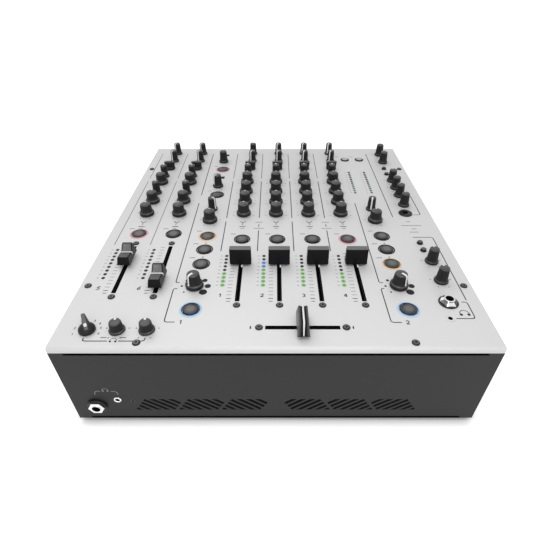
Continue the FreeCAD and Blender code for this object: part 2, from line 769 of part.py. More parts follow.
# Base tray: folded box, open at the top and the rear, with flanges that carry the panel
inside_width = "(panel_width - 2 * wall)"
tray_height = "(body_height - panel_thickness)"
middle_y = f"({FRONT} + panel_depth / 2)"
tray_block = box("tray_block", "panel_width", "panel_depth", tray_height, 0, middle_y, "foot_height")
tray_inside = box("tray_inside", inside_width, "panel_depth", "body_height", 0, f"{middle_y} + wall", FLOOR)
lip_rooms = [box(f"{end}_lip_room", "panel_width", "2 * panel_thickness", "2 * lip_height", 0, y,
                 f"{TOP} - lip_height")
             for end, y in (("front", FRONT), ("rear", f"{FRONT} + panel_depth"))]
gap_slot = box("gap_slot", "panel_width - 2 * gap_margin", "4 * wall", "2 * lip_gap", 0, FRONT,
               f"{TOP} - lip_height - lip_gap")
front_neck_hole = copy("front_neck_hole", neck_hole, front_jack_x, FRONT, front_jack_z, TO_FRONT)

vent_depth = "(4 * wall)"
vent_frame = make("Part::Wedge", "vent_frame", Xmin="0", Xmax="vent_group_width", X2min="vent_lean",
                  X2max="vent_group_width + vent_lean", Ymin="0", Ymax="vent_height", Zmin="0", Zmax=vent_depth,
                  Z2min="0", Z2max=vent_depth)
vent_frame.Placement = FreeCAD.Placement(FreeCAD.Vector(), FreeCAD.Rotation(*TO_FRONT))
bars = []
for step in range(-1, 6):
    bar = make("Part::Box", f"vent_bar_{step}", Length="3 * vent_height", Width=vent_depth, Height="slot_width")
    bars.append(at(bar, f"{step} * slot_pitch - vent_height", f"-{vent_depth}", "vent_height + slot_pitch / 2",
                   (Y_AXIS, sheet_value("slot_angle"))))
vent_slots = doc.addObject("Part::Common", "vent_slots")
vent_slots.Base = vent_frame
vent_slots.Tool = group("vent_bars", bars)
left_vents = group("left_vents", [
    copy(f"vent_group_{i}", vent_slots, f"-vent_first_x - vent_group_width - {i} * vent_group_pitch",
         f"{FRONT} + {vent_depth} / 2", "foot_height + vent_bottom") for i in range(3)])
right_vents = doc.addObject("Part::Mirroring", "right_vents")
right_vents.Source = left_vents
right_vents.Normal = X_AXIS
tray_cuts = group("tray_cuts", [tray_inside, gap_slot, front_neck_hole, left_vents, right_vents] + lip_rooms)
flange_depth = "(panel_depth - 2 * panel_thickness - wall)"
flange_y = f"{FRONT} + panel_thickness + {flange_depth} / 2"
flanges = [box(f"{side}_flange", "flange_width", flange_depth, "wall",
               f"{sign} * ({HALF_WIDTH} - flange_width / 2)", flange_y, f"{TOP} - panel_thickness - wall")
           for side, sign in (("left", "-1"), ("right", "1"))]
node("base_tray", fuse("base_tray_fuse", [cut("tray_walls", tray_block, tray_cuts)] + flanges))


# Rear panel and its sockets
def xlr(name):
    """Output socket: square plate outside, round shell behind it, open at the mouth."""
    plate = box(f"{name}_plate", "xlr_plate_width", "xlr_plate_height", "xlr_plate_thickness", 0, 0, 0)
    length = "xlr_depth + xlr_plate_thickness"
    shell = prism(f"{name}_shell", "xlr_radius", length, "-xlr_depth", ROUND)
    bore = prism(f"{name}_bore", "xlr_bore_radius", length, "wall - xlr_depth", ROUND)
    return cut(name, fuse(f"{name}_solid", [plate, shell]), bore)


rear_y = f"({REAR} - wall / 2)"
mains_x = f"({HALF_WIDTH} - mains_inset)"
inlet_low = "(inlet_z - inlet_height / 2)"
inlet_inner_width = "(inlet_width - 2 * inlet_step)"
inlet_inner_height = "(inlet_height - 2 * inlet_step)"
rear_plate = box("rear_plate", inside_width, "wall", f"{tray_height} - wall", 0, rear_y, FLOOR)
rear_cuts = [box("inlet_cut", inlet_inner_width, "4 * wall", inlet_inner_height, mains_x, rear_y,
                 f"{inlet_low} + inlet_step"),
             box("rocker_cut", "rocker_width + 2 * rocker_clearance", "4 * wall",
                 "rocker_height + 2 * rocker_clearance", mains_x, rear_y,
                 "rocker_z - rocker_height / 2 - rocker_clearance")]
xlr_master = xlr("xlr")
xlr_hole = prism("xlr_hole", "xlr_radius", "6 * wall", "-3 * wall", ROUND)
xlrs = []
for side, step in (("left", 0), ("right", 1)):
    x = f"(xlr_x + {step} * xlr_pitch)"
    xlrs.append(copy(f"xlr_{side}", xlr_master, x, REAR, "xlr_z", TO_REAR))
    rear_cuts.append(copy(f"xlr_hole_{side}", xlr_hole, x, REAR, "xlr_z", TO_REAR))
node("rear_xlr_sockets", group("rear_xlr_sockets_group", xlrs))
node("rear_panel", cut("rear_panel_cut", rear_plate, group("rear_cuts", rear_cuts)))

phono = fuse("phono", [prism("phono_base", "phono_base_radius", "phono_base_height", sides=HEXAGON),
                       prism("phono_barrel", "phono_radius", "panel_thickness + rear_projection")])
phonos = [copy(f"phono_{level}_{step}", phono, f"phono_inset + {step} * phono_pitch - {HALF_WIDTH}", REAR,
               f"phono_low + {level} * phono_row_pitch", TO_REAR) for level in range(2) for step in range(8)]
node("rear_phono_sockets", group("rear_phono_sockets_group", phonos))

inlet_rim = box("inlet_rim_box", "inlet_width", "panel_thickness", "inlet_height", mains_x,
                f"{REAR} + panel_thickness / 2", inlet_low)
inlet_body = box("inlet_body", inlet_inner_width, "inlet_depth", inlet_inner_height, mains_x,
                 f"{REAR} - inlet_depth / 2", f"{inlet_low} + inlet_step")
inlet_hollow = box("inlet_hollow", "inlet_width - 2 * inlet_rim", "inlet_recess + panel_thickness",
                   "inlet_height - 2 * inlet_rim", mains_x, f"{REAR} + (panel_thickness - inlet_recess) / 2",
                   f"{inlet_low} + inlet_rim")
node("mains_inlet", cut("mains_inlet_cut", fuse("inlet_solid", [inlet_rim, inlet_body]), inlet_hollow))

# Power rocker: a shallow vee that tips about its own pivot
rocker_side = [("0", "0"), ("0", "rocker_height"), ("rocker_rise", "rocker_height"),
               ("rocker_rise - rocker_dip", "rocker_height / 2"), ("rocker_rise", "0")]
rocker = padded("rocker_block", "YZ_Plane", rocker_side, "rocker_width")
node("power_switch", at(rocker, mains_x, f"{REAR} - rocker_sink", "rocker_z - rocker_height / 2"))

# Boards, controls' bodies and the power supply inside the case
board_width = "(panel_width - board_left - board_right)"
board_length = f"((board_back - board_front) * {STRETCH})"
control_board = box("control_board", board_width, board_length, "board_thickness",
                    "(board_left - board_right) / 2", row_y("(board_front + board_back) / 2"),
                    f"{BOARD} - board_thickness")
supply_x = f"({HALF_WIDTH} - supply_inset - supply_width / 2)"
main_left = f"(wall + board_left - {HALF_WIDTH})"
main_width = f"({supply_x} - supply_width / 2 - supply_gap - {main_left})"
main_x = f"({main_left} + {main_width} / 2)"
main_y = row_y("main_board_row")
main_board = box("main_board", main_width, "main_board_depth", "board_thickness", main_x, main_y,
                 f"{FLOOR} + main_board_lift")
node("circuit_boards", group("circuit_boards_group", [control_board, main_board]))
upper_standoff = prism("upper_standoff", "standoff_radius", "board_drop", sides=HEXAGON)
lower_standoff = prism("lower_standoff", "standoff_radius", "main_board_lift", sides=HEXAGON)
standoffs = []
for k in (-3.5, -1.5, 2.5):
    for end, row in (("front", "board_front + standoff_inset"), ("back", "board_back - standoff_inset")):
        standoffs.append(copy(f"upper_{end}_{k}", upper_standoff, column(k), row_y(row), BOARD))
for side in (-1, 1):
    for end in (-1, 1):
        standoffs.append(copy(f"lower_{side}_{end}", lower_standoff,
                              f"{main_x} + {side} * ({main_width} / 2 - standoff_inset)",
                              f"{main_y} + {end} * (main_board_depth / 2 - standoff_inset)", FLOOR))
node("board_standoffs", group("board_standoffs_group", standoffs))
node("potentiometers", group("potentiometers_group", pots))
node("button_switches", group("button_switches_group", switches))
node("fader_frames", group("fader_frames_group", frames))
node("button_rings", group("button_rings_group", rings))
node("power_supply", box("power_supply_box", "supply_width", "supply_depth", "supply_height", supply_x,
                         row_y("supply_row"), FLOOR))

# Feet and screws
foot = tapered("foot", "foot_radius", "foot_height", "foot_draft")
feet = [copy(f"foot_{side}_{end}", foot, f"{side} * ({HALF_WIDTH} - foot_inset)",
             f"{middle_y} + {end} * (panel_depth / 2 - foot_inset)", "foot_height", UPSIDE_DOWN)
        for side in (-1, 1) for end in (-1, 1)]
node("feet", group("feet_group", feet))
for side in (-1, 1):
    for step in (0, 1):
        screws.append(copy(f"side_screw_{side}_{step}", screw, f"{side} * ({HALF_WIDTH} - screw_inset)",
                           row_y(f"side_screw_row + {step} * side_screw_pitch"), TOP))
    screws.append(copy(f"front_screw_{side}", screw, f"{side} * front_screw_x", row_y("front_screw_row"), TOP))
node("panel_screws", group("panel_screws_group", screws))

doc.recompute()
for item in doc.Objects:
    if "Invalid" in item.State or "Error" in item.State:
        raise RuntimeError(f"{item.Name} failed: {item.State}")
for item in nodes:
    shape = Part.getShape(item)
    if shape.isNull() or not shape.isValid() or not shape.Solids:
        raise RuntimeError(f"{item.Label} has no valid solid")

os.makedirs("parts", exist_ok=True)
for item in nodes:
    Part.getShape(item).exportStep(f"parts/{item.Label}.step")
print(f"{len(nodes)} nodes written")
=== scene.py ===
import bpy
import math
from mathutils import Matrix, Vector


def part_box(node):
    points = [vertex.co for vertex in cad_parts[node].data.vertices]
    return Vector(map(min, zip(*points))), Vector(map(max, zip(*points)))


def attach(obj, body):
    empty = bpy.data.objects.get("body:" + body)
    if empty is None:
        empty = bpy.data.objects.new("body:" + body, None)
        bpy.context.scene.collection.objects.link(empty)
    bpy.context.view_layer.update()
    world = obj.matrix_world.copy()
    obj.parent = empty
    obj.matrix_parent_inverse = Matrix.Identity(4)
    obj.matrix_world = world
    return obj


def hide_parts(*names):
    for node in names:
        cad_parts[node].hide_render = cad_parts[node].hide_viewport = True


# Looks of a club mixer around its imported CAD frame.
# Shapes are built in millimetres and made into pieces in metres.
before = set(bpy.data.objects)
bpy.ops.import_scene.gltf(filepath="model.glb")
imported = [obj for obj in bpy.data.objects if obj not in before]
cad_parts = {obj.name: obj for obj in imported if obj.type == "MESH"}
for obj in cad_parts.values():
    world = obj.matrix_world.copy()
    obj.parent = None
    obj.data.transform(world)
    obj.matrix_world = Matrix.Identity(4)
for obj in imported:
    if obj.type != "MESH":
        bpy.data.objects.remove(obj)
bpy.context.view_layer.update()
scene = bpy.context.scene
MM = 0.001
CASE = "case"

panel_low, panel_high = (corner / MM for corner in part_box("top_panel"))
FRONT = panel_low.y
TOP = panel_high.z
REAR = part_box("rear_panel")[1].y / MM

# Columns of the control panel: the outer pair A and B, filter 1, channels 1 to 4, filter 2
COLUMN_PITCH = 33.3
COLUMN_CENTRE = 2.8
COLUMN_A, COLUMN_B, FILTER_1, CHANNELS, FILTER_2 = -4, -3, -2, (-1, 0, 1, 2), 3
OUTER_COLUMNS = COLUMN_A, COLUMN_B
TONE_BANDS = "low", "low_mid", "high_mid", "high"


def column(k, offset=0.0):
    """The x of a point in column k, offset from the column's fader line."""
    return COLUMN_CENTRE + COLUMN_PITCH * k + offset


# Boxes of CAD nodes and of their solids, each as (low corner, high corner) in mm
KEY_DIGITS = 3
COLUMN_GRAIN = 2.0


def node_box(node):
    return tuple(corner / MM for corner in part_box(node))


def middle(box):
    """The x and y of a box's middle."""
    return (box[0].x + box[1].x) / 2, (box[0].y + box[1].y) / 2


def face_middle(box):
    """The x and z of a box's middle, for a piece on the front or the rear face."""
    return (box[0].x + box[1].x) / 2, (box[0].z + box[1].z) / 2


def half_width(box):
    return (box[1].x - box[0].x) / 2


def rise(box):
    return box[1].z - box[0].z


def islands(node):
    """The boxes of a CAD node's separate solids, by column and then by row."""
    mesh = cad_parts[node].data
    parent = {}

    def find(key):
        parent.setdefault(key, key)
        while parent[key] != key:
            parent[key] = parent[parent[key]]
            key = parent[key]
        return key

    keys = [tuple(round(c / MM, KEY_DIGITS) for c in v.co) for v in mesh.vertices]
    for face in mesh.polygons:
        head = find(keys[face.vertices[0]])
        for i in face.vertices[1:]:
            parent[find(keys[i])] = head
    groups = {}
    for key in sorted(set(keys)):
        groups.setdefault(find(key), []).append(key)
    boxes = [tuple(Vector(pick(axis) for axis in zip(*points)) for pick in (min, max))
             for points in groups.values()]
    return sorted(boxes, key=lambda box: (round(middle(box)[0] / COLUMN_GRAIN), box[0].y))


# Materials: each is a node material whose colour, gloss and relief vary with noise in the frame's own space
NOISE_DETAIL = 4.0
RELIEF_HEIGHT = 0.0002


def fill(node, **values):
    """Sets inputs of a shader node; an underscore stands for a space in an input's name."""
    for name, value in values.items():
        node.inputs[name.replace("_", " ")].default_value = value
    return node


def put(tree, kind, **values):
    return fill(tree.nodes.new("ShaderNode" + kind), **values)


def material(name, colour, rough=0.5, metal=0.0, vary=0.08, grain=600.0, relief=0.0, glow=0.0, shine=0.5):
    """A shine of 0.5 is the gloss of plain plastic or paint; matt blacks have less."""
    made = bpy.data.materials.new(name)
    made.use_nodes = True
    tree = made.node_tree
    link = tree.links.new
    shader = fill(tree.nodes["Principled BSDF"], Metallic=metal, Specular_IOR_Level=shine)
    noise = put(tree, "TexNoise", Scale=grain, Detail=NOISE_DETAIL)
    link(put(tree, "TexCoord").outputs["Object"], noise.inputs["Vector"])
    tint = put(tree, "Mix")
    tint.data_type = "RGBA"
    fill(tint, A=(*(c * (1 - vary) for c in colour), 1), B=(*(min(1, c * (1 + vary)) for c in colour), 1))
    link(noise.outputs["Fac"], tint.inputs["Factor"])
    link(tint.outputs["Result"], shader.inputs["Base Color"])
    gloss = put(tree, "MapRange", To_Min=rough * (1 - vary), To_Max=min(1, rough * (1 + vary)))
    link(noise.outputs["Fac"], gloss.inputs["Value"])
    link(gloss.outputs["Result"], shader.inputs["Roughness"])
    if relief:
        bump = put(tree, "Bump", Strength=relief, Distance=RELIEF_HEIGHT)
        link(noise.outputs["Fac"], bump.inputs["Height"])
        link(bump.outputs["Normal"], shader.inputs["Normal"])
    if glow:
        link(tint.outputs["Result"], shader.inputs["Emission Color"])
        fill(shader, Emission_Strength=glow)
    return made


PANEL = material("panel_silver", (0.72, 0.72, 0.725), metal=0.1, vary=0.03, grain=1800, relief=0.02)
CHARCOAL = material("case_charcoal", (0.028, 0.028, 0.029), rough=0.6, vary=0.15, grain=1500, relief=0.25,
                    shine=0.25)
KNOB = material("knob_black", (0.012, 0.012, 0.013), rough=0.45, vary=0.2, grain=900, relief=0.05, shine=0.25)
# Knob greys painted paler than the black: a band of painted highlight and softer sheen, and the paler painted
# sheen of tops
KNOB_PAINTED_BAND = material("knob_painted_band", (0.045, 0.045, 0.048), rough=0.35, vary=0.15, grain=900)
KNOB_SHEEN = material("knob_painted_sheen", (0.06, 0.06, 0.063), rough=0.42, vary=0.15, grain=900)
CAP = material("cap_black", (0.007, 0.007, 0.008), vary=0.2, grain=800, relief=0.03, shine=0.1)
# Copies of the cap black painted paler: sheen on tops and sides, and a highlight on dishes and top edges
CAP_SHEEN = material("cap_painted_sheen", (0.11, 0.11, 0.112), rough=0.35, vary=0.12, grain=800)
CAP_HIGHLIGHT = material("cap_painted_highlight", (0.15, 0.15, 0.153), rough=0.25, vary=0.1, grain=800)
CAP_SOFT_SHEEN = material("cap_painted_soft_sheen", (0.03, 0.03, 0.032), rough=0.45, vary=0.15, grain=800, shine=0.3)
# The button top grey is a painted highlight and the button edge grey is painted shade, one on either side of
# the plain button grey
BUTTON_HIGHLIGHT = material("button_painted_highlight", (0.115, 0.115, 0.118), rough=0.38, vary=0.12, grain=700, relief=0.03)
BUTTON_PALE = material("button_pale", (0.45, 0.45, 0.455), rough=0.35, vary=0.06, grain=700)
BUTTON = material("button_grey", (0.065, 0.065, 0.068), rough=0.4, vary=0.15, grain=700, relief=0.03)
BUTTON_SHADE = material("button_painted_shade", (0.026, 0.026, 0.028), rough=0.4, vary=0.15, grain=700)
BUTTON_RIM = material("button_rim", (0.008, 0.008, 0.009), rough=0.4, vary=0.2, grain=700, shine=0.2)
WHITE = material("pointer_white", (0.85, 0.85, 0.83), vary=0.04, grain=500, shine=0.2)
PRINT = material("print_black", (0.03, 0.03, 0.033), rough=0.6, vary=0.12, shine=0.1)
PRINT_SOFT = material("print_soft", (0.11, 0.11, 0.113), rough=0.6, vary=0.1, shine=0.1)
PRINT_GREY = material("print_grey", (0.25, 0.25, 0.26), rough=0.6, vary=0.06, shine=0.1)
PRINT_PALE = material("print_pale", (0.32, 0.32, 0.33), rough=0.6, vary=0.06, shine=0.1)
RING = material("ring_unlit", (0.006, 0.006, 0.007), rough=0.35, vary=0.15, shine=0.2)
LED_OFF = material("led_unlit", (0.012, 0.012, 0.013), rough=0.3, vary=0.2, shine=0.3)
LED_GREEN = material("led_green", (0.13, 0.27, 0.08), rough=0.35, vary=0.1, glow=0.3, shine=0.3)
LED_DIM = material("led_dim_green", (0.06, 0.13, 0.07), rough=0.35, vary=0.1, glow=0.1, shine=0.3)
LED_BLUE = material("led_blue", (0.05, 0.13, 0.38), rough=0.35, vary=0.1, glow=0.5, shine=0.3)
CHROME = material("nut_chrome", (0.82, 0.82, 0.83), rough=0.16, metal=1.0, vary=0.05, grain=700)
# A dark copy of the chrome, painted shade on nut facets and collar bands
CHROME_PAINTED_SHADE = material("chrome_painted_shade", (0.1, 0.1, 0.105), rough=0.3, metal=1.0, vary=0.1, grain=700)
# Black painted shade that stands for hollows, recesses, slots and gaps
HOLLOW_SHADE = material("painted_hollow_shade", (0.003, 0.003, 0.003), rough=0.8, vary=0.3, shine=0.0)
BLACK_PLASTIC = material("socket_black", (0.012, 0.012, 0.013), rough=0.4, vary=0.2, grain=700, shine=0.3)
SCREW = material("screw_black", (0.02, 0.02, 0.021), rough=0.4, vary=0.2, grain=900, shine=0.3)
# A paler screw grey, a painted highlight in the dish of each head
SCREW_HIGHLIGHT = material("screw_painted_highlight", (0.11, 0.11, 0.113), rough=0.4, metal=0.5, vary=0.15, grain=900)
RUBBER = material("foot_rubber", (0.012, 0.012, 0.013), rough=0.8, vary=0.25, grain=700, relief=0.2,
                  shine=0.2)
STEEL = material("sheet_steel", (0.5, 0.51, 0.53), rough=0.38, metal=0.9)
BOARD = material("board_green", (0.03, 0.16, 0.07), rough=0.45, vary=0.15, grain=300)
COMPONENT = material("component_dark", (0.01, 0.01, 0.011), rough=0.6, vary=0.2, grain=400, shine=0.1)
GOLD = material("contact_gold", (0.8, 0.58, 0.24), rough=0.25, metal=1.0)
PHONO_RED = material("phono_red", (0.55, 0.03, 0.03), rough=0.4, vary=0.12, grain=500)
PHONO_WHITE = material("phono_white", (0.75, 0.75, 0.73), rough=0.4, vary=0.05, grain=500)


def light(name, rim, glow, halo):
    """Looks of a lit button: its rim, its ring and the light on the panel round it."""
    return (material("rim_" + name, rim, rough=0.35, vary=0.12, shine=0.3),
            material("glow_" + name, glow, rough=0.4, vary=0.05, glow=0.1, shine=0.1),
            material("halo_" + name, halo, vary=0.03, shine=0.2))


RED = light("red", (0.055, 0.008, 0.013), (0.7, 0.38, 0.43), (0.72, 0.5, 0.52))
AMBER = light("amber", (0.06, 0.032, 0.012), (0.8, 0.6, 0.37), (0.75, 0.64, 0.48))
BLUE = light("blue", (0.006, 0.018, 0.07), (0.4, 0.6, 0.79), (0.5, 0.65, 0.78))
HALO_GREEN = material("halo_green", (0.56, 0.7, 0.53), vary=0.03, shine=0.2)

# Strokes of the printed digits, as shares of their height
DIGITS = {
    1: (((-0.2, 0.26), (0.06, 0.5)), ((0.04, 0.5), (0.04, -0.5))),
    2: (((-0.28, 0.26), (-0.2, 0.42), (0, 0.48), (0.2, 0.42), (0.27, 0.24), (0.16, 0.02), (-0.26, -0.42)),
        ((-0.34, -0.43), (0.34, -0.43))),
    3: (((-0.26, 0.38), (0, 0.47), (0.22, 0.38), (0.22, 0.15), (0, 0.04)),
        ((-0.04, 0.04), (0.24, -0.08), (0.26, -0.34), (0.02, -0.47), (-0.28, -0.38))),
    4: (((0.16, -0.5), (0.16, 0.5)), ((0.12, 0.5), (-0.32, -0.16)), ((-0.36, -0.2), (0.38, -0.2))),
    5: (((0.28, 0.44), (-0.24, 0.44)), ((-0.2, 0.5), (-0.24, 0.04)),
        ((-0.26, 0.06), (0.04, 0.12), (0.26, -0.04), (0.26, -0.3), (0.04, -0.46), (-0.28, -0.4))),
    6: (((0.2, 0.5), (-0.14, 0.24), (-0.28, -0.14), (-0.2, -0.38), (0.02, -0.46), (0.26, -0.32),
         (0.24, -0.08), (0, 0.04), (-0.24, -0.1)),),
}
DIGIT_WEIGHT = 0.2

# Unit corners of a rectangle, anticlockwise, and steps of each rounded corner
QUARTERS = ((1, 1), (-1, 1), (-1, -1), (1, -1))
ARC_STEPS = 4


def per_band(look, count):
    """One look for each of so many bands: the list as given, or the one look repeated."""
    return look if isinstance(look, list) else [look] * count


def circle(x, y, radius, count):
    """Points evenly spaced round a circle, anticlockwise from its right."""
    angles = [2 * math.pi * i / count for i in range(count)]
    return [(x + radius * math.cos(angle), y + radius * math.sin(angle)) for angle in angles]


def rounded(path, radius):
    """An open path with its inner corners cut to arcs of about the radius."""
    made = [path[0]]
    for corners in zip(path, path[1:], path[2:]):
        before, here, after = (Vector(corner) for corner in corners)
        a, b = (here + (end - here).normalized() * min(radius, (end - here).length / 2)
                for end in (before, after))
        for step in range(ARC_STEPS + 1):
            t = step / ARC_STEPS
            made.append(tuple(a * (1 - t) ** 2 + here * 2 * t * (1 - t) + b * t ** 2))
    return made + [path[-1]]


class Shape:
    """Points and faces of one piece, each face with its look, added in a local frame set anywhere."""

    def __init__(self):
        self.points, self.faces, self.looks = [], [], []
        self.place = Matrix.Identity(4)

    def at(self, x, y, z, turn=0.0, tilt=0.0):
        """Sets the local origin. A turn is in degrees clockwise from the rear seen from above,
        a tilt in degrees about the x axis."""
        self.place = Matrix.Translation((x, y, z)) @ Matrix.Rotation(math.radians(tilt), 4, "X")
        self.place = self.place @ Matrix.Rotation(-math.radians(turn), 4, "Z")
        return self

    def stand(self, box):
        """Sets the local origin under a box's middle and gives its half width and its height."""
        self.at(*middle(box), box[0].z)
        return half_width(box), rise(box)

    def add(self, points):
        first = len(self.points)
        self.points.extend(self.place @ Vector(p) for p in points)
        return first

    def face(self, corners, look):
        self.faces.append(tuple(corners))
        self.looks.append(look)

    def skin(self, rings, look, start=None, end=None, closed=True):
        """Joins rings of equal count into one skin, with a face at its start or end where that has a look.
        A list of looks gives one to each band, and a list within it one to each face across the band."""
        size = len(rings[0])
        first = self.add(p for ring in rings for p in ring)
        for i, band in enumerate(per_band(look, len(rings) - 1)):
            for j in range(size if closed else size - 1):
                a, b = first + i * size + j, first + i * size + (j + 1) % size
                self.face((a, b, b + size, a + size), band[j] if isinstance(band, list) else band)
        last = first + (len(rings) - 1) * size
        if start:
            self.face(reversed(range(first, first + size)), start)
        if end:
            self.face(range(last, last + size), end)

    def lathe(self, profile, look, slices=40, ribs=0, end=None, hollow=False):
        """Revolves (radius, z) or (radius, z, rib depth) rows about the local z axis.
        A hollow one has no end face."""
        rings = []
        for radius, z, *depth in profile:
            ring = []
            for i in range(slices):
                angle = 2 * math.pi * i / slices
                cut = depth[0] * (0.5 - 0.5 * math.cos(ribs * angle)) if depth and ribs else 0.0
                ring.append(((radius - cut) * math.cos(angle), (radius - cut) * math.sin(angle), z))
            rings.append(ring)
        bands = per_band(look, len(profile) - 1)
        self.skin(rings, bands, end=None if hollow else end or bands[-1])

    def stack(self, levels, look, end=None):
        """Skins rounded rectangles (z, half x, half y, corner radius) into one upright block.
        A fifth value of a level shifts it in y."""
        rings = []
        for z, half_x, half_y, corner, *shift in levels:
            ring = []
            for quarter, (sx, sy) in enumerate(QUARTERS):
                for step in range(ARC_STEPS + 1):
                    angle = math.pi / 2 * (quarter + step / ARC_STEPS)
                    ring.append((sx * (half_x - corner) + corner * math.cos(angle),
                                 sy * (half_y - corner) + corner * math.sin(angle) + sum(shift), z))
            rings.append(ring)
        bands = per_band(look, len(levels) - 1)
        self.skin(rings, bands, end=end or bands[-1])

    def stroke(self, path, width, look):
        """A flat printed line of even width along (x, y) points at the local z = 0."""
        left, right = [], []
        for i, (x, y) in enumerate(path):
            before, after = path[max(i - 1, 0)], path[min(i + 1, len(path) - 1)]
            along = Vector((after[0] - before[0], after[1] - before[1])).normalized() * width / 2
            left.append((x - along.y, y + along.x, 0))
            right.append((x + along.y, y - along.x, 0))
        self.skin([right, left], look, closed=False)

    def disc(self, x, y, radius, look, slices=20):
        first = self.add((*point, 0) for point in circle(x, y, radius, slices))
        self.face(range(first, first + slices), look)

    def number(self, digit, x, y, height, look, slant=0.0):
        """One plain printed digit, centred on (x, y)."""
        for part in DIGITS[digit]:
            path = [(x + height * (across + slant * up), y + height * up) for across, up in part]
            self.stroke(path, DIGIT_WEIGHT * height, look)

    def piece(self, name, body=CASE, slot=None, replaces=(), sharp=40.0):
        """Makes the mesh object, lets it ride on its CAD body and stand for the CAD nodes named."""
        mesh = bpy.data.meshes.new(name)
        mesh.from_pydata([p * MM for p in self.points], [], self.faces)
        kinds = list(dict.fromkeys(self.looks))
        for look in kinds:
            mesh.materials.append(look)
        mesh.polygons.foreach_set("material_index", [kinds.index(look) for look in self.looks])
        mesh.update()
        mesh.shade_smooth()
        mesh.set_sharp_from_angle(angle=math.radians(sharp))
        made = bpy.data.objects.new(name, mesh)
        scene.collection.objects.link(made)
        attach(made, body)
        if replaces:
            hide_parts(*replaces)


def dress(node, slot, draw, moves=False):
    """Makes the piece that stands for a CAD node, solid by solid. One that moves rides on its own body."""
    shape = Shape()
    for box in [node_box(node)] if moves else islands(node):
        draw(shape, box)
    shape.piece(node + "_looks", node if moves else CASE, slot, [node])


# Knobs: (share of the radius, share of the height, rib depth in mm) from the skirt up to the top
KNOB_FORMS = {
    "wide": [(0.93, 0), (0.99, 0.03), (1, 0.09), (1, 0.17), (0.975, 0.235), (0.92, 0.28), (0.84, 0.305),
             (0.79, 0.33), (0.775, 0.38, 0.2), (0.77, 0.42, 0.35), (0.76, 0.65, 0.35), (0.745, 0.8, 0.35),
             (0.735, 0.845, 0.15), (0.7, 0.885), (0.62, 0.925), (0.5, 0.958), (0.34, 0.985), (0.16, 1),
             (0.04, 1)],
    "slim": [(0.94, 0), (1, 0.03), (1, 0.08), (0.95, 0.12), (0.85, 0.145), (0.8, 0.17),
             (0.79, 0.2, 0.15), (0.78, 0.3, 0.25), (0.72, 0.9, 0.25), (0.7, 0.94, 0.1), (0.65, 0.972),
             (0.55, 0.992), (0.25, 1), (0.05, 1)],
    "tall": [(0.94, 0), (1, 0.03), (1, 0.1), (0.96, 0.14), (0.88, 0.165), (0.82, 0.19),
             (0.81, 0.24, 0.2), (0.795, 0.31, 0.35), (0.72, 0.9, 0.35), (0.7, 0.94, 0.15), (0.64, 0.972),
             (0.54, 0.992), (0.25, 1), (0.05, 1)],
    "short": [(0.95, 0), (1, 0.04), (1, 0.12), (0.97, 0.16), (0.9, 0.19), (0.83, 0.215),
              (0.815, 0.27, 0.2), (0.81, 0.36, 0.35), (0.76, 0.87, 0.35), (0.74, 0.92, 0.15), (0.69, 0.965),
              (0.6, 0.99), (0.25, 1), (0.05, 1)],
    "cone": [(0.93, 0), (0.99, 0.03), (1, 0.08), (1, 0.19), (0.97, 0.245), (0.92, 0.28), (0.84, 0.3),
             (0.79, 0.325), (0.775, 0.38, 0.25), (0.77, 0.42, 0.4), (0.7, 0.87, 0.4), (0.685, 0.915, 0.2),
             (0.64, 0.955), (0.56, 0.985), (0.3, 1), (0.05, 1)],
}
KNOB_FORMS["striped"] = KNOB_FORMS["tall"]
KNOB_RIBS = 16
KNOB_SLICES = 96
# Bands of a knob, from shares of its height: the dome, its edge, and the shoulder over the skirt's foot. The
# dome's middle is painted paler as sheen, its edge less so, and the shoulder is painted as a highlight
DOME_EDGE, DOME, SKIRT_FOOT = 0.88, 0.95, 0.1
# Shares of the radius: the edge of the dome lies beyond the first, and the shoulder between the other two
DOME_REACH = 0.52
SHOULDER = 0.88, 0.99
# Pointer of each form: (first share of the height, last share of the radius on the top, width in mm)
POINTERS = {
    "wide": (0.84, 0.2, 1.8), "slim": (0.14, 0.05, 1.4), "tall": (0.86, 0.3, 1.5),
    "short": (0.8, 0.3, 1.6), "striped": (0.2, 0.1, 1.5), "cone": (0.3, 0.05, 1.8),
}
SHAFT_RADIUS = 3.0
# Gaps in mm: under a knob, under a painted strip, and under the foot of a piece that sits on a face
SEAT = 0.2
STRIP = 0.06
CLEAR = 0.02


def shaft(shape, box, top):
    """The shaft or plunger below a control, down to its CAD end."""
    shape.stand(box)
    shape.lathe([(SHAFT_RADIUS, 0), (SHAFT_RADIUS, top - box[0].z)], COMPONENT, slices=16)


def knob(shape, box, form, turn=0, low=None):
    """One knob in its CAD box, its white pointer turned clockwise from the rear."""
    radius = half_width(box)
    low = (box[0].z if low is None else low) + SEAT
    height = box[1].z - low - STRIP
    shape.at(*middle(box), low, turn)
    rows = [(r * radius, z * height, *rib) for r, z, *rib in KNOB_FORMS[form]]
    looks = []
    for r, z, *_ in KNOB_FORMS[form][:-1]:
        on_shoulder_glint = SHOULDER[0] < r < SHOULDER[1] and z > SKIRT_FOOT
        on_dome_edge_sheen = DOME_EDGE <= z < DOME or r > DOME_REACH and z >= DOME
        looks.append(KNOB_PAINTED_BAND if on_dome_edge_sheen or on_shoulder_glint else KNOB_SHEEN if z >= DOME else KNOB)
    shape.lathe(rows, looks, slices=KNOB_SLICES, ribs=KNOB_RIBS)
    start, stop, width = POINTERS[form]
    path = [(r * radius + STRIP, z * height + STRIP)
            for r, z, *_ in KNOB_FORMS[form] if z >= start and r >= stop]
    path.append((stop * radius, height + STRIP))
    edges = [[(side * width / 2, r, z) for r, z in path] for side in (1, -1)]
    shape.skin(edges, WHITE, closed=False)


def in_column(x, k):
    return abs(x - column(k)) < COLUMN_PITCH / 2


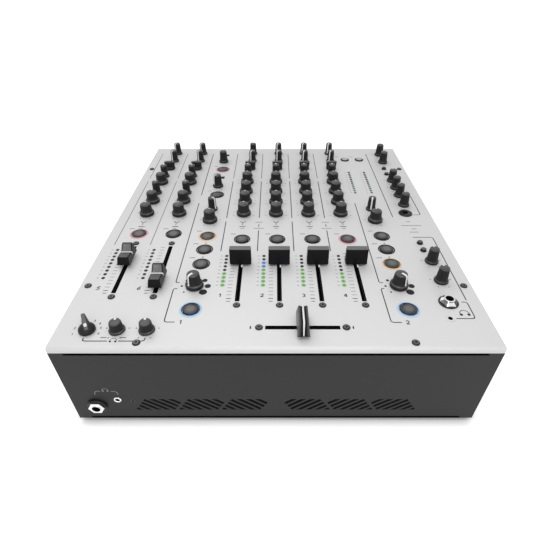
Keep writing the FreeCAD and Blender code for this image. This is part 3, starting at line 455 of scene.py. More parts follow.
# Turns of the pointers, in degrees, where they aren't straight
LEFT_STOP = -150
FILTER_TURNS = {FILTER_1: 125, FILTER_2: -165}
SHORT_TURN, STRIPED_TURN, TALL_TURN = -8, -128, -12
FREQUENCY_TURN = 140
SEND_ROWS = FRONT + 300
LAST_ROW = FRONT + 335
SHORT_HEIGHT = 10.0


def slim_knob(shape, box):
    x, y = middle(box)
    straight = y < SEND_ROWS or in_column(x, CHANNELS[0]) and y > LAST_ROW
    turn = 0 if straight else LEFT_STOP
    for k, filter_turn in FILTER_TURNS.items():
        if in_column(x, k):
            turn = filter_turn
    knob(shape, box, "slim", turn)


def tall_knob(shape, box):
    x, y = middle(box)
    if rise(box) < SHORT_HEIGHT:
        knob(shape, box, "short", SHORT_TURN)
    elif not in_column(x, FILTER_1):
        knob(shape, box, "tall", TALL_TURN)
    elif y < SEND_ROWS:
        knob(shape, box, "striped", STRIPED_TURN)
    else:
        knob(shape, box, "tall")


dress("slim_knobs", "knob", slim_knob)
dress("wide_knobs", "knob", lambda shape, box: knob(shape, box, "wide"))
dress("tall_knobs", "knob", tall_knob)


def turning(node, form, turn=0):
    """A knob with its own joint, on its shaft."""
    def draw(shape, box):
        shaft(shape, box, TOP + SEAT)
        knob(shape, box, form, turn, low=TOP)

    dress(node, "knob", draw, moves=True)


for channel in range(1, len(CHANNELS) + 1):
    turning(f"trim_knob_{channel}", "slim")
    for band in TONE_BANDS:
        turning(f"{band}_knob_{channel}", "wide")
turning("filter_1_frequency_knob", "cone", -FREQUENCY_TURN)
turning("filter_2_frequency_knob", "cone", FREQUENCY_TURN)

# Selectors: a short round body with a flat wing across it; the phones selector is a beak
WING_MARK_HALF, WING_MARK_WIDTH = 1.3, 0.9


def wing_selector(shape, box):
    radius = half_width(box)
    top = rise(box) - SEAT - STRIP
    shape.at(*middle(box), box[0].z + SEAT)
    shape.lathe([(0.94 * radius, 0), (0.98 * radius, 0.4), (0.98 * radius, 1.6), (0.9 * radius, 2.6),
                 (0.72 * radius, 3.4), (0.05, 3.6)], KNOB)
    # The wing's upper bands and its top are painted paler as sheen
    shape.stack([(2.6, 0.9 * radius, 2.4, 1.8), (5.0, 0.97 * radius, 2.2, 1.6), (top - 1.0, radius, 1.9, 1.3),
                 (top - 0.25, 0.97 * radius, 1.6, 1.1), (top, 0.9 * radius, 1.1, 0.8)],
                [KNOB, KNOB, KNOB_SHEEN, KNOB_SHEEN])
    shape.at(box[0].x + 0.3 * radius, middle(box)[1], box[1].z)
    shape.stroke([(-WING_MARK_HALF, 0), (WING_MARK_HALF, 0)], WING_MARK_WIDTH, WHITE)


# Sections of the phones selector's finger: (y, low z, high z, half width below, half width above), in mm
FINGER = (
    (-4.4, 2.0, 4.6, 3.0, 1.5), (-2.4, 2.0, 6.1, 3.8, 1.6), (0.2, 2.2, 6.9, 4.0, 1.6),
    (2.8, 2.6, 7.6, 3.5, 1.6), (5.4, 3.2, 8.6, 2.6, 1.6), (7.2, 4.4, 9.4, 2.0, 1.5),
    (8.2, 5.6, 9.7, 1.6, 1.4), (8.7, 6.6, 9.3, 1.2, 1.0),
)
FINGER_CORNER = 0.15
FINGER_FLAT = 0.6
WHITE_BAND = 1
POINTER_TURN = -25
PHONES_ROWS = FRONT + 35


def pointer_selector(shape, box):
    """A round body with a rising finger that points outwards."""
    radius = half_width(box)
    shape.at(*middle(box), box[0].z + SEAT, POINTER_TURN)
    shape.lathe([(0.94 * radius, 0), (0.99 * radius, 0.4), (0.99 * radius, 1.8), (0.94 * radius, 2.8),
                 (0.8 * radius, 4.0), (0.55 * radius, 5.2), (0.25 * radius, 5.9), (0.05, 6.0)], KNOB)
    rings = []
    for y, low, high, below, above in FINGER:
        corner = high - FINGER_CORNER * (high - low)
        flat = FINGER_FLAT * above
        rings.append([(below, y, low), (above, y, corner), (flat, y, high), (-flat, y, high),
                      (-above, y, corner), (-below, y, low)])
    # The finger's top is painted palest as sheen, its upper edges less pale, and its flanks a little paler
    # than the black
    bands = [[CAP_SOFT_SHEEN, KNOB_SHEEN, WHITE if i == WHITE_BAND else CAP_SHEEN, KNOB_SHEEN, CAP_SOFT_SHEEN, KNOB]
             for i in range(len(rings) - 1)]
    shape.skin(rings, bands, start=CAP_SOFT_SHEEN, end=CAP_SOFT_SHEEN)


def selector(shape, box):
    draw = pointer_selector if middle(box)[1] < PHONES_ROWS else wing_selector
    draw(shape, box)


dress("selector_knobs", "knob", selector)

# Lit buttons: the looks, and the places as (column, mm from the front edge)
LIT_BUTTONS = {
    RED: ((COLUMN_A, 145.3), (CHANNELS[3], 136.0), (FILTER_1, 291.3)),
    AMBER: ((FILTER_1, 141.2), (FILTER_2, 98.0)),
    BLUE: ((FILTER_1, 39.3), (FILTER_2, 39.3)),
}
LIT_REACH = 4.0


def lit_looks(x, y):
    """The looks of a lit button at this place, or none."""
    for looks, places in LIT_BUTTONS.items():
        for k, row in places:
            if math.hypot(x - column(k), y - FRONT - row) < LIT_REACH:
                return looks
    return None


# Buttons: low domes, in rows of (share of the radius, depth under the top as a share of the rise)
BUTTON_DOME = ((1, 0.75), (0.96, 0.5), (0.86, 0.36), (0.78, 0.25), (0.66, 0.15), (0.46, 0.05), (0.22, 0),
               (0.03, 0))
# The grey crown steps from painted shade at its edge to a painted highlight at its top
GREY_CROWN = BUTTON_SHADE, BUTTON_SHADE, BUTTON, BUTTON_HIGHLIGHT, BUTTON_HIGHLIGHT
PALE_CROWN = BUTTON_RIM, BUTTON_RIM, BUTTON_PALE, BUTTON_PALE, BUTTON_PALE
SINK = 1.2


def button(shape, box, low, crown=GREY_CROWN):
    """A cap whose dome fades to a black rim, or to the tint of its lit ring; a grey dome is painted from a
    highlight at its top to shade at its edge.
    """
    radius = half_width(box)
    over_panel = box[1].z - TOP
    looks = lit_looks(*middle(box))
    shape.at(*middle(box), low)
    rows = [(0.97 * radius, CLEAR), (radius, 0.1)]
    rows += [(r * radius, box[1].z - low - depth * over_panel) for r, depth in BUTTON_DOME]
    shape.lathe(rows, [looks[0] if looks else BUTTON_RIM] * 4 + list(crown), slices=48)


# Push buttons: (share of the radius, share of the height) from the collar up
PUSH_ROWS = ((1.15, 0.12), (1, 0.14), (1, 0.7), (0.94, 0.88), (0.8, 1), (0.05, 1))
PUSH_RADIUS = 4.0


def push_cap(shape, box):
    radius, height = shape.stand(box)
    rows = [(PUSH_ROWS[0][0] * radius, CLEAR)] + [(r * radius, z * height) for r, z in PUSH_ROWS]
    shape.lathe(rows, [BUTTON_RIM] * 4 + [BUTTON] * 2, slices=32)


def still_button(shape, box):
    x, y = middle(box)
    if half_width(box) < PUSH_RADIUS:
        push_cap(shape, box)
    else:
        crown = PALE_CROWN if y > SEND_ROWS and x > column(CHANNELS[3]) else GREY_CROWN
        button(shape, box, box[0].z, crown)


def pressed_button(shape, box):
    shaft(shape, box, TOP - SINK)
    button(shape, box, TOP - SINK)


dress("panel_buttons", "button", still_button)
CUE_BUTTONS = [f"cue_button_{channel}" for channel in "1234ab"]
for node in CUE_BUTTONS + ["filter_1_on_button", "filter_2_on_button"]:
    dress(node, "button", pressed_button, moves=True)

# Rings round the buttons; a lit one throws a soft light on the panel
RING_WALL = 0.95
RING_CLEAR = 0.01
HALO_REACH = 1.2
HALO_LIFT = 0.03


def halo(shape, radius, reach, look, slices):
    """Light on the panel round a lit ring or lens."""
    shape.lathe([(radius + reach, HALO_LIFT), (radius, HALO_LIFT)], look, slices=slices, hollow=True)


def button_ring(shape, box):
    outer, high = shape.stand(box)
    inner = outer - RING_WALL
    looks = lit_looks(*middle(box))
    inside, outside = looks[:2] if looks else (RING, RING)
    shape.lathe([(outer, RING_CLEAR), (outer, 0.6 * high), (outer - 0.15, 0.85 * high), (outer - 0.4, high),
                 (outer - 0.8 * RING_WALL, 0.95 * high), (inner, 0.6 * high), (inner, RING_CLEAR)],
                [outside] * 3 + [inside] * 3, slices=48, hollow=True)
    if looks:
        halo(shape, outer, HALO_REACH, looks[2], slices=48)


dress("button_rings", "light_ring", button_ring)

# Meters: round lenses, lit from the lowest up; each channel has so many (green, blue) ones
CHANNEL_METERS = dict(zip(CHANNELS, ((4, 0), (5, 2), (5, 0), (4, 0))))
METER_OFFSET = -13.4
METER_REACH = 3.0
MASTER_DIM = 5
LENS_RADIUS = 1.5
LENS_SPILL = 0.9
LENS_SLICES = 20
LENS_LIGHT = {LED_GREEN: HALO_GREEN, LED_BLUE: BLUE[2]}
lens_places = []


def lens_look(x, row):
    for k, (green, blue) in CHANNEL_METERS.items():
        if abs(x - column(k, METER_OFFSET)) < METER_REACH:
            return LED_GREEN if row < green else LED_BLUE if row < green + blue else LED_OFF
    on_master = x > column(FILTER_2, -COLUMN_PITCH / 2)
    return LED_DIM if on_master and row < MASTER_DIM else LED_OFF


def lens(shape, box):
    x, y = middle(box)
    _, high = shape.stand(box)
    row = sum(round(x) == round(other) for other, _ in lens_places)
    look = lens_look(x, row)
    lens_places.append((x, y - FRONT))
    shape.lathe([(LENS_RADIUS, CLEAR), (LENS_RADIUS, 0.4 * high), (0.8 * LENS_RADIUS, 0.8 * high),
                 (0.4 * LENS_RADIUS, 0.97 * high), (0.05, high)], look, slices=LENS_SLICES)
    if look in LENS_LIGHT:
        halo(shape, LENS_RADIUS, LENS_SPILL, LENS_LIGHT[look], LENS_SLICES)


dress("meter_leds", "led", lens)

# Fader caps. Each stands clear of the panel on its lever, which comes up through the slot
LEVER_HALF = (0.6, 2.5)
LEVER_CORNER = 0.3
LEVER_IN_CAP = 1.0
CAP_LOW = TOP + 3.5


def lever(shape, box, across=False):
    half = LEVER_HALF[::-1] if across else LEVER_HALF
    shape.stand(box)
    top = CAP_LOW + LEVER_IN_CAP - box[0].z
    shape.stack([(0, *half, LEVER_CORNER), (top, *half, LEVER_CORNER)], COMPONENT)


PADDLE_TOP_HALF = 2.5
PADDLE_LOW = TOP + 2.2
TONGUE_SIDE, TONGUE_HALF, TONGUE_LOW = 1.2, 0.6, 1.3


def paddle(shape, box):
    """A wide cap that narrows to a flat top painted paler as sheen, its top edge painted as a highlight, with
    a small white tongue under its front edge.
    """
    lever(shape, box)
    half_x, half_y = half_width(box), (box[1].y - box[0].y) / 2
    high = box[1].z - PADDLE_LOW
    shape.at(*middle(box), PADDLE_LOW)
    shape.stack([(0, half_x - 0.3, half_y - 0.3, 0.8), (0.5, half_x, half_y, 1.0),
                 (high - 0.7, half_x - 0.1, PADDLE_TOP_HALF + 0.1, 0.8),
                 (high - 0.2, half_x - 0.3, PADDLE_TOP_HALF - 0.05, 0.7),
                 (high, half_x - 0.7, PADDLE_TOP_HALF - 0.4, 0.5)],
                [CAP, CAP, CAP_HIGHLIGHT, CAP_HIGHLIGHT], end=CAP_SHEEN)
    shape.at(middle(box)[0] + TONGUE_SIDE, box[0].y - TONGUE_HALF, TOP + TONGUE_LOW)
    shape.stack([(0, TONGUE_HALF, 1.8, 0.3), (0.4, TONGUE_HALF, 1.8, 0.3), (0.8, TONGUE_HALF, 0.7, 0.3, 1.1)],
                WHITE)


# Sections of the saddle cap from front to back: (y, z) from its base's middle, and the look up to the next
SADDLE = (
    (-11.3, 0.2, CAP), (-9.3, 6.0, CAP), (-8.6, 6.6, KNOB_SHEEN), (-7.6, 6.65, KNOB_SHEEN), (0.5, 5.3, WHITE),
    (1.9, 5.3, CAP_SOFT_SHEEN), (2.5, 5.8, CAP_HIGHLIGHT), (3.6, 6.8, CAP_HIGHLIGHT), (5.6, 9.5, CAP_HIGHLIGHT),
    (6.2, 10.2, CAP_SOFT_SHEEN), (6.9, 10.4, CAP_SOFT_SHEEN), (8.3, 10.4, CAP_SOFT_SHEEN), (8.9, 10.1, CAP), (11.3, 0.2, CAP),
)
SADDLE_LEAN = 0.125
SADDLE_FRAME = 0.9
SADDLE_EDGE = 0.3
WHITE_DEPTH = 2.0
LEAST_SIDE, LEAST_EDGE = 0.1, 0.15
# Points across the flat from its edge inwards: (share of its half width, share of the dish's depth)
FLAT_POINTS = ((1, 0), (0.75, 0.65), (0.4, 1))
DISH_DEPTH = 0.9


def saddle(shape, box):
    """A cap with a low black front whose top is painted paler as sheen, a white line in its dip, and a hollow
    glossy dish in its high back painted pale as a highlight.
    """
    lever(shape, box)
    half = half_width(box)
    shape.at(*middle(box), CAP_LOW)
    rings, bands = [], []
    for y, z, look in SADDLE:
        top = half - SADDLE_LEAN * z
        side = max(LEAST_SIDE, z - WHITE_DEPTH)
        edge = max(LEAST_EDGE, z - SADDLE_EDGE)
        depth = DISH_DEPTH if look is CAP_HIGHLIGHT else 0.0
        right = [(half, 0), (half - SADDLE_LEAN * side, side), (top, edge)]
        right += [(share * (top - SADDLE_FRAME), z - sunk * depth) for share, sunk in FLAT_POINTS]
        rings.append([(x, y, high) for x, high in right] + [(-x, y, high) for x, high in reversed(right)])
        flank, border = (WHITE, WHITE) if look is WHITE else (CAP_SOFT_SHEEN, CAP)
        bands.append([CAP_SOFT_SHEEN, flank, border] + [look] * 5 + [border, flank, CAP_SOFT_SHEEN, CAP])
    shape.skin(rings, bands[:-1], start=CAP, end=CAP)


# The crossfader's cap: (y, height) from its foot to its top at one end, half widths of base and top, groove
BLADE_END = ((12.5, 0.4), (12.2, 0.9), (8.5, 10.8), (8.0, 11.14))
BLADE = [(-y, high) for y, high in BLADE_END] + list(reversed(BLADE_END))
BLADE_BASE, BLADE_TOP = 4.6, 3.5
GROOVE_HALF, GROOVE_DEPTH = 1.9, 1.4
# Its white line: half width at the foot, growth of that up to the top, and height over the groove
MARK_HALF, MARK_GROWTH, MARK_LIFT = 0.35, 0.3, 0.25


def crossfade_cap(shape, box):
    """A cap along y that narrows to two ridges, with a white line in their groove and down its ends."""
    lever(shape, box, across=True)
    shape.at(*middle(box), CAP_LOW)
    tallest = BLADE_END[-1][1]
    rings, path = [], []
    for y, high in BLADE:
        share = high / tallest
        top = BLADE_BASE + (BLADE_TOP - BLADE_BASE) * share
        edge = GROOVE_HALF * top / BLADE_TOP
        groove = high - GROOVE_DEPTH * min(1.0, share + 0.2) * share
        right = [(BLADE_BASE, 0), (top, 0.88 * high), ((top + edge) / 2, high), (edge, 0.94 * high)]
        across = [(-x, z) for x, z in right] + [(0, groove)] + list(reversed(right))
        rings.append([(x, y, z) for x, z in across])
        path.append((y, groove + STRIP))
    # The cap's flanks are painted palest as sheen, its ridges less pale, and its inner slopes a little paler
    # than the black
    looks = [CAP_SHEEN, KNOB_SHEEN, CAP_SOFT_SHEEN, CAP, CAP, CAP_SOFT_SHEEN, KNOB_SHEEN, CAP_SHEEN, CAP]
    shape.skin(rings, [looks] * (len(rings) - 1), start=CAP, end=CAP)
    edges = [[(side * (MARK_HALF + MARK_GROWTH * z / tallest), y, z + MARK_LIFT) for y, z in path]
             for side in (1, -1)]
    shape.skin(edges, WHITE, closed=False)


for channel in range(1, len(CHANNELS) + 1):
    dress(f"fader_{channel}", "fader_cap", paddle, moves=True)
for node in ("fader_a", "fader_b"):
    dress(node, "fader_cap", saddle, moves=True)
dress("crossfader", "fader_cap", crossfade_cap, moves=True)

# Black walls of painted shade lining the fader slots, inside the panel's own opening: (inset, z) round each
# wall's section
SLOT_HALF = (1.88, 32.98)
CROSS_SLOT_HALF = (27.38, 1.88)
SHADE_WALL, SHADE_WALL_LOW, SHADE_WALL_TOP = 0.1, -1.9, -0.02
SHADE_WALL_SECTION = ((0, SHADE_WALL_LOW), (0, SHADE_WALL_TOP), (SHADE_WALL, SHADE_WALL_TOP), (SHADE_WALL, SHADE_WALL_LOW),
                  (0, SHADE_WALL_LOW))
slot_shade = Shape()
for box in islands("fader_frames"):
    across = box[1].x - box[0].x > box[1].y - box[0].y
    half_x, half_y = CROSS_SLOT_HALF if across else SLOT_HALF
    slot_shade.at(*middle(box), TOP)
    slot_shade.skin([[(sx * (half_x - inset), sy * (half_y - inset), z) for sx, sy in QUARTERS]
                  for inset, z in SHADE_WALL_SECTION], HOLLOW_SHADE)
slot_shade.piece("slot_painted_shade")

# Screws: dished heads with a paler dish that is a painted highlight, and a six-sided socket drawn as a flat
# black hexagon of painted shade
SOCKET_TURN = 30


def screw(shape, box):
    radius, high = shape.stand(box)
    shape.lathe([(radius, CLEAR), (radius, 0.3 * high), (0.86 * radius, 0.75 * high),
                 (0.66 * radius, 0.9 * high), (0.36 * radius, 0.85 * high)],
                [SCREW] * 3 + [SCREW_HIGHLIGHT], slices=28)
    shape.at(*middle(box), box[0].z + 0.86 * high, SOCKET_TURN)
    shape.disc(0, 0, 0.3 * radius, HOLLOW_SHADE, slices=6)


dress("panel_screws", "screw", screw)


def foot(shape, box):
    """A rounded rubber disc with a hollow below."""
    radius, high = shape.stand(box)
    shape.lathe([(0.3 * radius, 0.8), (0.36 * radius, 0.0), (0.82 * radius, 0.0), (0.9 * radius, 0.4),
                 (0.97 * radius, 0.7 * high), (radius, high)], RUBBER)


dress("feet", "foot", foot)

# Sockets: washer, hex nut and collar of the jacks, in layers of (rows, looks, slices, look of the end)
# Nut facets alternate between the chrome and its painted shade, and the collars' dim bands are painted shade
# too
NUT_FACETS = [CHROME, CHROME_PAINTED_SHADE] * 3
JACK = (
    ([(7.7, CLEAR), (7.7, 0.6), (7.3, 0.9), (5.2, 0.9)], BLACK_PLASTIC, 40, None),
    ([(7.2, 0.8), (7.1, 1.5), (4.5, 3.4), (4.2, 3.5)], [NUT_FACETS, NUT_FACETS, CHROME], 6, None),
    ([(4.2, 3.3), (4.2, 4.0), (3.9, 4.3), (3.3, 4.3), (2.9, 4.0)],
     [CHROME_PAINTED_SHADE, CHROME, CHROME, CHROME_PAINTED_SHADE], 36, HOLLOW_SHADE),
)
FRONT_JACK = (
    ([(7.7, CLEAR), (7.7, 1.9), (7.1, 2.5), (5.2, 2.5)], BLACK_PLASTIC, 40, None),
    ([(6.5, 2.4), (6.5, 3.3), (6.1, 3.8), (4.2, 3.9)], [CHROME_PAINTED_SHADE, CHROME, CHROME], 6, None),
    ([(4.2, 3.8), (4.1, 4.2), (3.6, 4.3), (3.3, 4.1)], CHROME, 36, HOLLOW_SHADE),
)
FLAT_JACK = (
    ([(7.0, CLEAR), (7.0, 0.6), (6.4, 1.2), (4.6, 1.3), (4.3, 1.1)], BLACK_PLASTIC, 40, None),
    ([(4.3, 1.0), (4.2, 1.5), (3.8, 1.5), (2.9, 1.3)], CHROME_PAINTED_SHADE, 36, HOLLOW_SHADE),
)
MINI_COLLAR = [(3.0, CLEAR), (3.0, 0.6), (2.7, 0.95), (2.0, 0.95), (1.75, 0.7), (1.75, 0.4)]
MINI_HALF = 4.0
PHONES_JACK_ROWS = FRONT + 100


def socket(shape, box):
    x, y = middle(box)
    on_front = box[0].z < TOP / 2
    if on_front:
        shape.at(x, FRONT, face_middle(box)[1], tilt=90)
    else:
        shape.at(x, y, TOP)
    layers = FRONT_JACK if on_front else FLAT_JACK if y > PHONES_JACK_ROWS else JACK
    if half_width(box) < MINI_HALF:
        layers = [(MINI_COLLAR, [CHROME if on_front else PANEL] * 4 + [HOLLOW_SHADE], 28, None)]
    for rows, look, slices, end in layers:
        shape.lathe(rows, look, slices, end=end)


dress("jack_sockets", "socket", socket)

UPPER_PHONOS = 35.0


def phono(shape, box):
    """A phono socket of the rear panel: a coloured collar and a gilt sleeve."""
    x, z = face_middle(box)
    collar = PHONO_WHITE if box[0].z > UPPER_PHONOS else PHONO_RED
    shape.at(x, REAR, z, tilt=-90)
    shape.lathe([(4.8, CLEAR), (4.8, 1.6), (4.4, 2.0), (4.15, 2.0)], collar, slices=32, end=BLACK_PLASTIC)
    shape.lathe([(4.15, 1.9), (4.15, 6.4), (3.9, 6.8), (2.2, 6.8), (1.7, 6.5), (1.7, 3.0)], GOLD, slices=32,
                end=HOLLOW_SHADE)


dress("rear_phono_sockets", "connector", phono)

# Contacts and screws of the balanced outputs and the mains inlet, standing in their CAD hollows
PIN_CIRCLE = 3.9
PIN_ANGLES = (30, 150, 270)
PLATE_SCREWS = ((-9.8, 12.2), (9.8, -12.2))
PLATE = 2.0
SLEEVE = -8.0
BLADE_PLACES = ((-7, -2.2), (0, 2.2), (7, -2.2))
contacts = Shape()
for box in islands("rear_xlr_sockets"):
    x, z = face_middle(box)
    contacts.at(x, REAR, z, tilt=-90)
    contacts.lathe([(9.3, SLEEVE), (9.3, PLATE - 0.6), (8.9, PLATE - 0.1), (8.7, PLATE - 0.6), (8.7, SLEEVE)],
                   STEEL, hollow=True)
    for angle in PIN_ANGLES:
        a = math.radians(angle)
        contacts.at(x + PIN_CIRCLE * math.cos(a), REAR, z + PIN_CIRCLE * math.sin(a), tilt=-90)
        contacts.lathe([(1.2, -12.4), (1.2, -3.6), (0.9, -2.9), (0.4, -2.6)], GOLD, slices=20)
    for across, up in PLATE_SCREWS:
        contacts.at(x + across, REAR + PLATE, z + up, tilt=-90)
        contacts.lathe([(1.7, CLEAR), (1.7, 0.3), (1.3, 0.7), (0.7, 0.75)], [SCREW, SCREW, SCREW_HIGHLIGHT],
                       slices=20, end=HOLLOW_SHADE)
inlet_x, inlet_z = face_middle(node_box("mains_inlet"))
for across, up in BLADE_PLACES:
    contacts.at(inlet_x + across, REAR, inlet_z + up, tilt=-90)
    contacts.stack([(-14.9, 1.0, 2.0, 0.2), (-3.2, 1.0, 2.0, 0.2), (-2.4, 0.6, 1.6, 0.2)], STEEL)
contacts.piece("rear_contacts", slot="connector")

# A black sheet of painted shade behind the front wall, seen through the vents and the gap under the panel's
# lip
SHEET_HALF, SHEET_LOW, SHEET_TOP = 156.0, 6.5, TOP - 4.9
SHEET_BACK, SHEET_HALF_THICK, SHEET_CORNER = 1.75, 0.15, 0.1
shade_sheet = Shape().at(0, FRONT + SHEET_BACK, SHEET_LOW)
shade_sheet.stack([(z, SHEET_HALF, SHEET_HALF_THICK, SHEET_CORNER) for z in (0, SHEET_TOP - SHEET_LOW)], HOLLOW_SHADE)
shade_sheet.piece("front_shade_sheet")

# CAD nodes carried over as they are, by their materials
CARRIED = {
    PANEL: ("top_panel",),
    CHARCOAL: ("base_tray", "rear_panel"),
    BLACK_PLASTIC: ("rear_xlr_sockets", "mains_inlet", "power_switch"),
    BOARD: ("circuit_boards",),
    STEEL: ("board_standoffs", "power_supply"),
    COMPONENT: ("potentiometers", "button_switches", "fader_frames"),
}
for look, carried in CARRIED.items():
    for node in carried:
        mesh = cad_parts[node].data
        mesh.materials.clear()
        mesh.materials.append(look)

# Print on the panel, in mm from the panel's centre line and its front edge
LINE = 0.8
REAR_LINE = 0.6
DASH = 0.9
PRINT_LIFT = 0.04
CORNER = 2.5
BAND_POINTS = 20
panel_print = Shape().at(0, FRONT, TOP + PRINT_LIFT)


def line(*path, width=LINE, look=PRINT, on=panel_print):
    on.stroke(rounded(path, CORNER), width, look)


def dash(x, y, half, width=DASH, look=PRINT_GREY, on=panel_print):
    """A level line to both sides of (x, y)."""
    line((x - half, y), (x + half, y), width=width, look=look, on=on)


def dot(x, y, reach, angle, radius, look, slices=20):
    """A dot round (x, y), at an angle in degrees clockwise from the rear."""
    a = math.radians(angle)
    panel_print.disc(x + reach * math.sin(a), y + reach * math.cos(a), radius, look, slices)


def headphones(x, y, radius, look, on=panel_print):
    """A plain pictogram: a band over two ear pads."""
    on.stroke(circle(x, y, radius, BAND_POINTS)[:BAND_POINTS // 2 + 1], 0.16 * radius, look)
    for side in (-1, 1):
        on.disc(x + side * 0.8 * radius, y - 0.3 * radius, 0.34 * radius, look)


# Lines between the columns, in runs of (first y, last y, width); two of them stop short for plain marks
DIVIDER = -19.6
REAR_RUN = (266.5, 340, REAR_LINE)
CHANNEL_RUNS = (116.5, 168, LINE), (175, 258.5, LINE), REAR_RUN
PAIRED_RUNS = (116.5, 151.6, LINE), *CHANNEL_RUNS[1:]
OUTER_RUNS = (126.5, 258.5, REAR_LINE), REAR_RUN
PAIRED_CHANNELS = CHANNELS[1::2]


def divider(k, runs, look):
    x = column(k, DIVIDER)
    for start, stop, width in runs:
        line((x, start), (x, stop), width=width, look=look)


for k in PAIRED_CHANNELS:
    x = column(k, DIVIDER)
    dash(x, 166.6, 3.6)
    line((x, 158.6), (x, 162.6))
    dash(x, 155.2, 5.0)
for k in CHANNELS:
    divider(k, PAIRED_RUNS if k in PAIRED_CHANNELS else CHANNEL_RUNS, PRINT)
for k in OUTER_COLUMNS:
    divider(k, OUTER_RUNS, PRINT_SOFT)

# Frames round the sections, and the headphone signs in them
FRAME_LINES = (
    ((-82.7, 224), (-82.7, 340)),
    ((-82.7, 206), (-82.7, 71.5), (-79.5, 71.5)),
    ((-80, 64), (-83, 64), (-83, 25.9), (-75, 25.9)),
    ((85.3, 206), (85.3, 71.5), (88.5, 71.5)),
    ((88, 64), (85.2, 64), (85.2, 25.5), (93, 25.5)),
    ((119.8, 340), (119.8, 176.6)),
    ((149.4, 222), (149.4, 181.2), (142, 181.2)),
    ((130.6, 139.3), (149.4, 139.3), (149.4, 49.8)),
    ((145, 47.8), (149, 47.8), (149, 29.5), (134.6, 29.5)),
    ((-136.7, 10), (-136.7, 7.1), (-119, 7.1)),
    ((-111.2, 7.1), (-93, 7.1), (-93, 10)),
)
for path in FRAME_LINES:
    line(*path)
for x, y, radius in ((-115, 7.4, 2.4), (142.7, 34.8, 3.6)):
    headphones(x, y, radius, PRINT)


def count_up(places, height, first=1, slant=0.0):
    """Plain numbers at the places, counting up from the first."""
    for number, (x, y) in enumerate(places, first):
        panel_print.number(number, x, y, height, PRINT, slant)


# Numbers round the phones selector and dashes by the knobs next to it
SELECTOR_NUMBERS = ((-146, 13.6), (-146.4, 19.6), (-134.4, 27.2), (-129.6, 24.4), (-127.6, 20),
                    (-127.4, 14.4))
SMALL_NUMBER = 1.9
count_up(SELECTOR_NUMBERS, SMALL_NUMBER)
for x in (-122.6, -108.6):
    dash(x, 10.4, 2.2)

# Dots growing clockwise round each filter's large knob
DOT_RING = 10.6
DOT_STEP = 44.5
DOT_RADII = (0.8, 1.05, 1.3, 1.65, 2.1, 2.6, 3.3)
FREQUENCY_ROW = 67.0
KNOB_OFFSET = -2.5
for k in (FILTER_1, FILTER_2):
    for i, radius in enumerate(DOT_RADII, -(len(DOT_RADII) // 2)):
        dot(column(k, KNOB_OFFSET), FREQUENCY_ROW, DOT_RING, DOT_STEP * i, radius, PRINT)

# Numbers of the channels, the outer columns and the filters, and bars at the crossfader's ends
NUMBER, OUTER_NUMBER = 3.8, 4.0
SLANT = 0.25
BAR = 1.0
count_up([(column(k, -13.9), 55.7) for k in CHANNELS], NUMBER)
count_up([(column(k, -14.0), 64.5) for k in OUTER_COLUMNS], OUTER_NUMBER, len(CHANNELS) + 1, SLANT)
for x in (-18.7, 56.4):
    line((x, 18.9), (x, 21.7), width=BAR)
count_up(((-70.5, 25.9), (97.5, 25.5)), NUMBER)

# Scales of the faders, up from a dash below their black first line, and a dash at the left of each lens
SCALE_OFFSET = -7.0
SCALE_START = 3.3
SCALE_STEPS = 14
SCALE_PITCH = 4.33
SCALE_HALF = 1.9
SCALE_LINE, SCALE_FIRST_LINE = 0.55, 0.7
LENS_DASH_SIDE, LENS_DASH_HALF, LENS_DASH = -4.5, 0.9, 0.6
for columns, lowest in ((CHANNELS, 48.7), (OUTER_COLUMNS, 58.3)):
    for k in columns:
        x, first_line = column(k, SCALE_OFFSET), lowest + SCALE_START
        dash(x, first_line, SCALE_HALF, SCALE_FIRST_LINE, PRINT)
        dash(x, lowest, 0.8 * SCALE_HALF)
        for i in range(1, SCALE_STEPS + 1):
            dash(x, first_line + SCALE_PITCH * i, SCALE_HALF, SCALE_LINE)
for x, y in lens_places:
    dash(x + LENS_DASH_SIDE, y, LENS_DASH_HALF, LENS_DASH)

# Dots at the ends and the sides of the still knobs' turns
MARK_GAP = 2.6
MARK_RADIUS = 0.6
for node in ("wide_knobs", "tall_knobs"):
    for box in islands(node):
        x, y = middle(box)
        for angle in (LEFT_STOP, LEFT_STOP / 2, -LEFT_STOP / 2, -LEFT_STOP):
            dot(x, y - FRONT, half_width(box) + MARK_GAP, angle, MARK_RADIUS, PRINT_GREY, slices=12)

# Dashes at both sides of each tone knob: (distance to the side, y from its middle, half length, width)
TONE_DASHES = ((10.5, -2.2, 0.9, 0.7), (10.7, 5.0, 0.7, 0.5))
for channel, k in enumerate(CHANNELS, 1):
    for band in TONE_BANDS:
        y = middle(node_box(f"{band}_knob_{channel}"))[1] - FRONT
        for side in (-1, 1):
            for away, up, half, width in TONE_DASHES:
                dash(column(k, KNOB_OFFSET + side * away), y + up, half, width)

# Fork signs over the cue buttons, each with a stem and two dashes below it
FORK_HALF, FORK_TOP, FORK_FOOT, STEM_FOOT = 2.6, 168.2, 165.2, 161.0
STEM = 0.7
for k in (*OUTER_COLUMNS, *CHANNELS):
    x = column(k, KNOB_OFFSET)
    panel_print.stroke([(x - FORK_HALF, FORK_TOP), (x, FORK_FOOT), (x + FORK_HALF, FORK_TOP)], DASH, PRINT)
    line((x, FORK_FOOT), (x, STEM_FOOT), width=STEM, look=PRINT_GREY)
    dash(x, 158.5, 3.0, BAR, PRINT)
    dash(x, 155.0, 1.8)

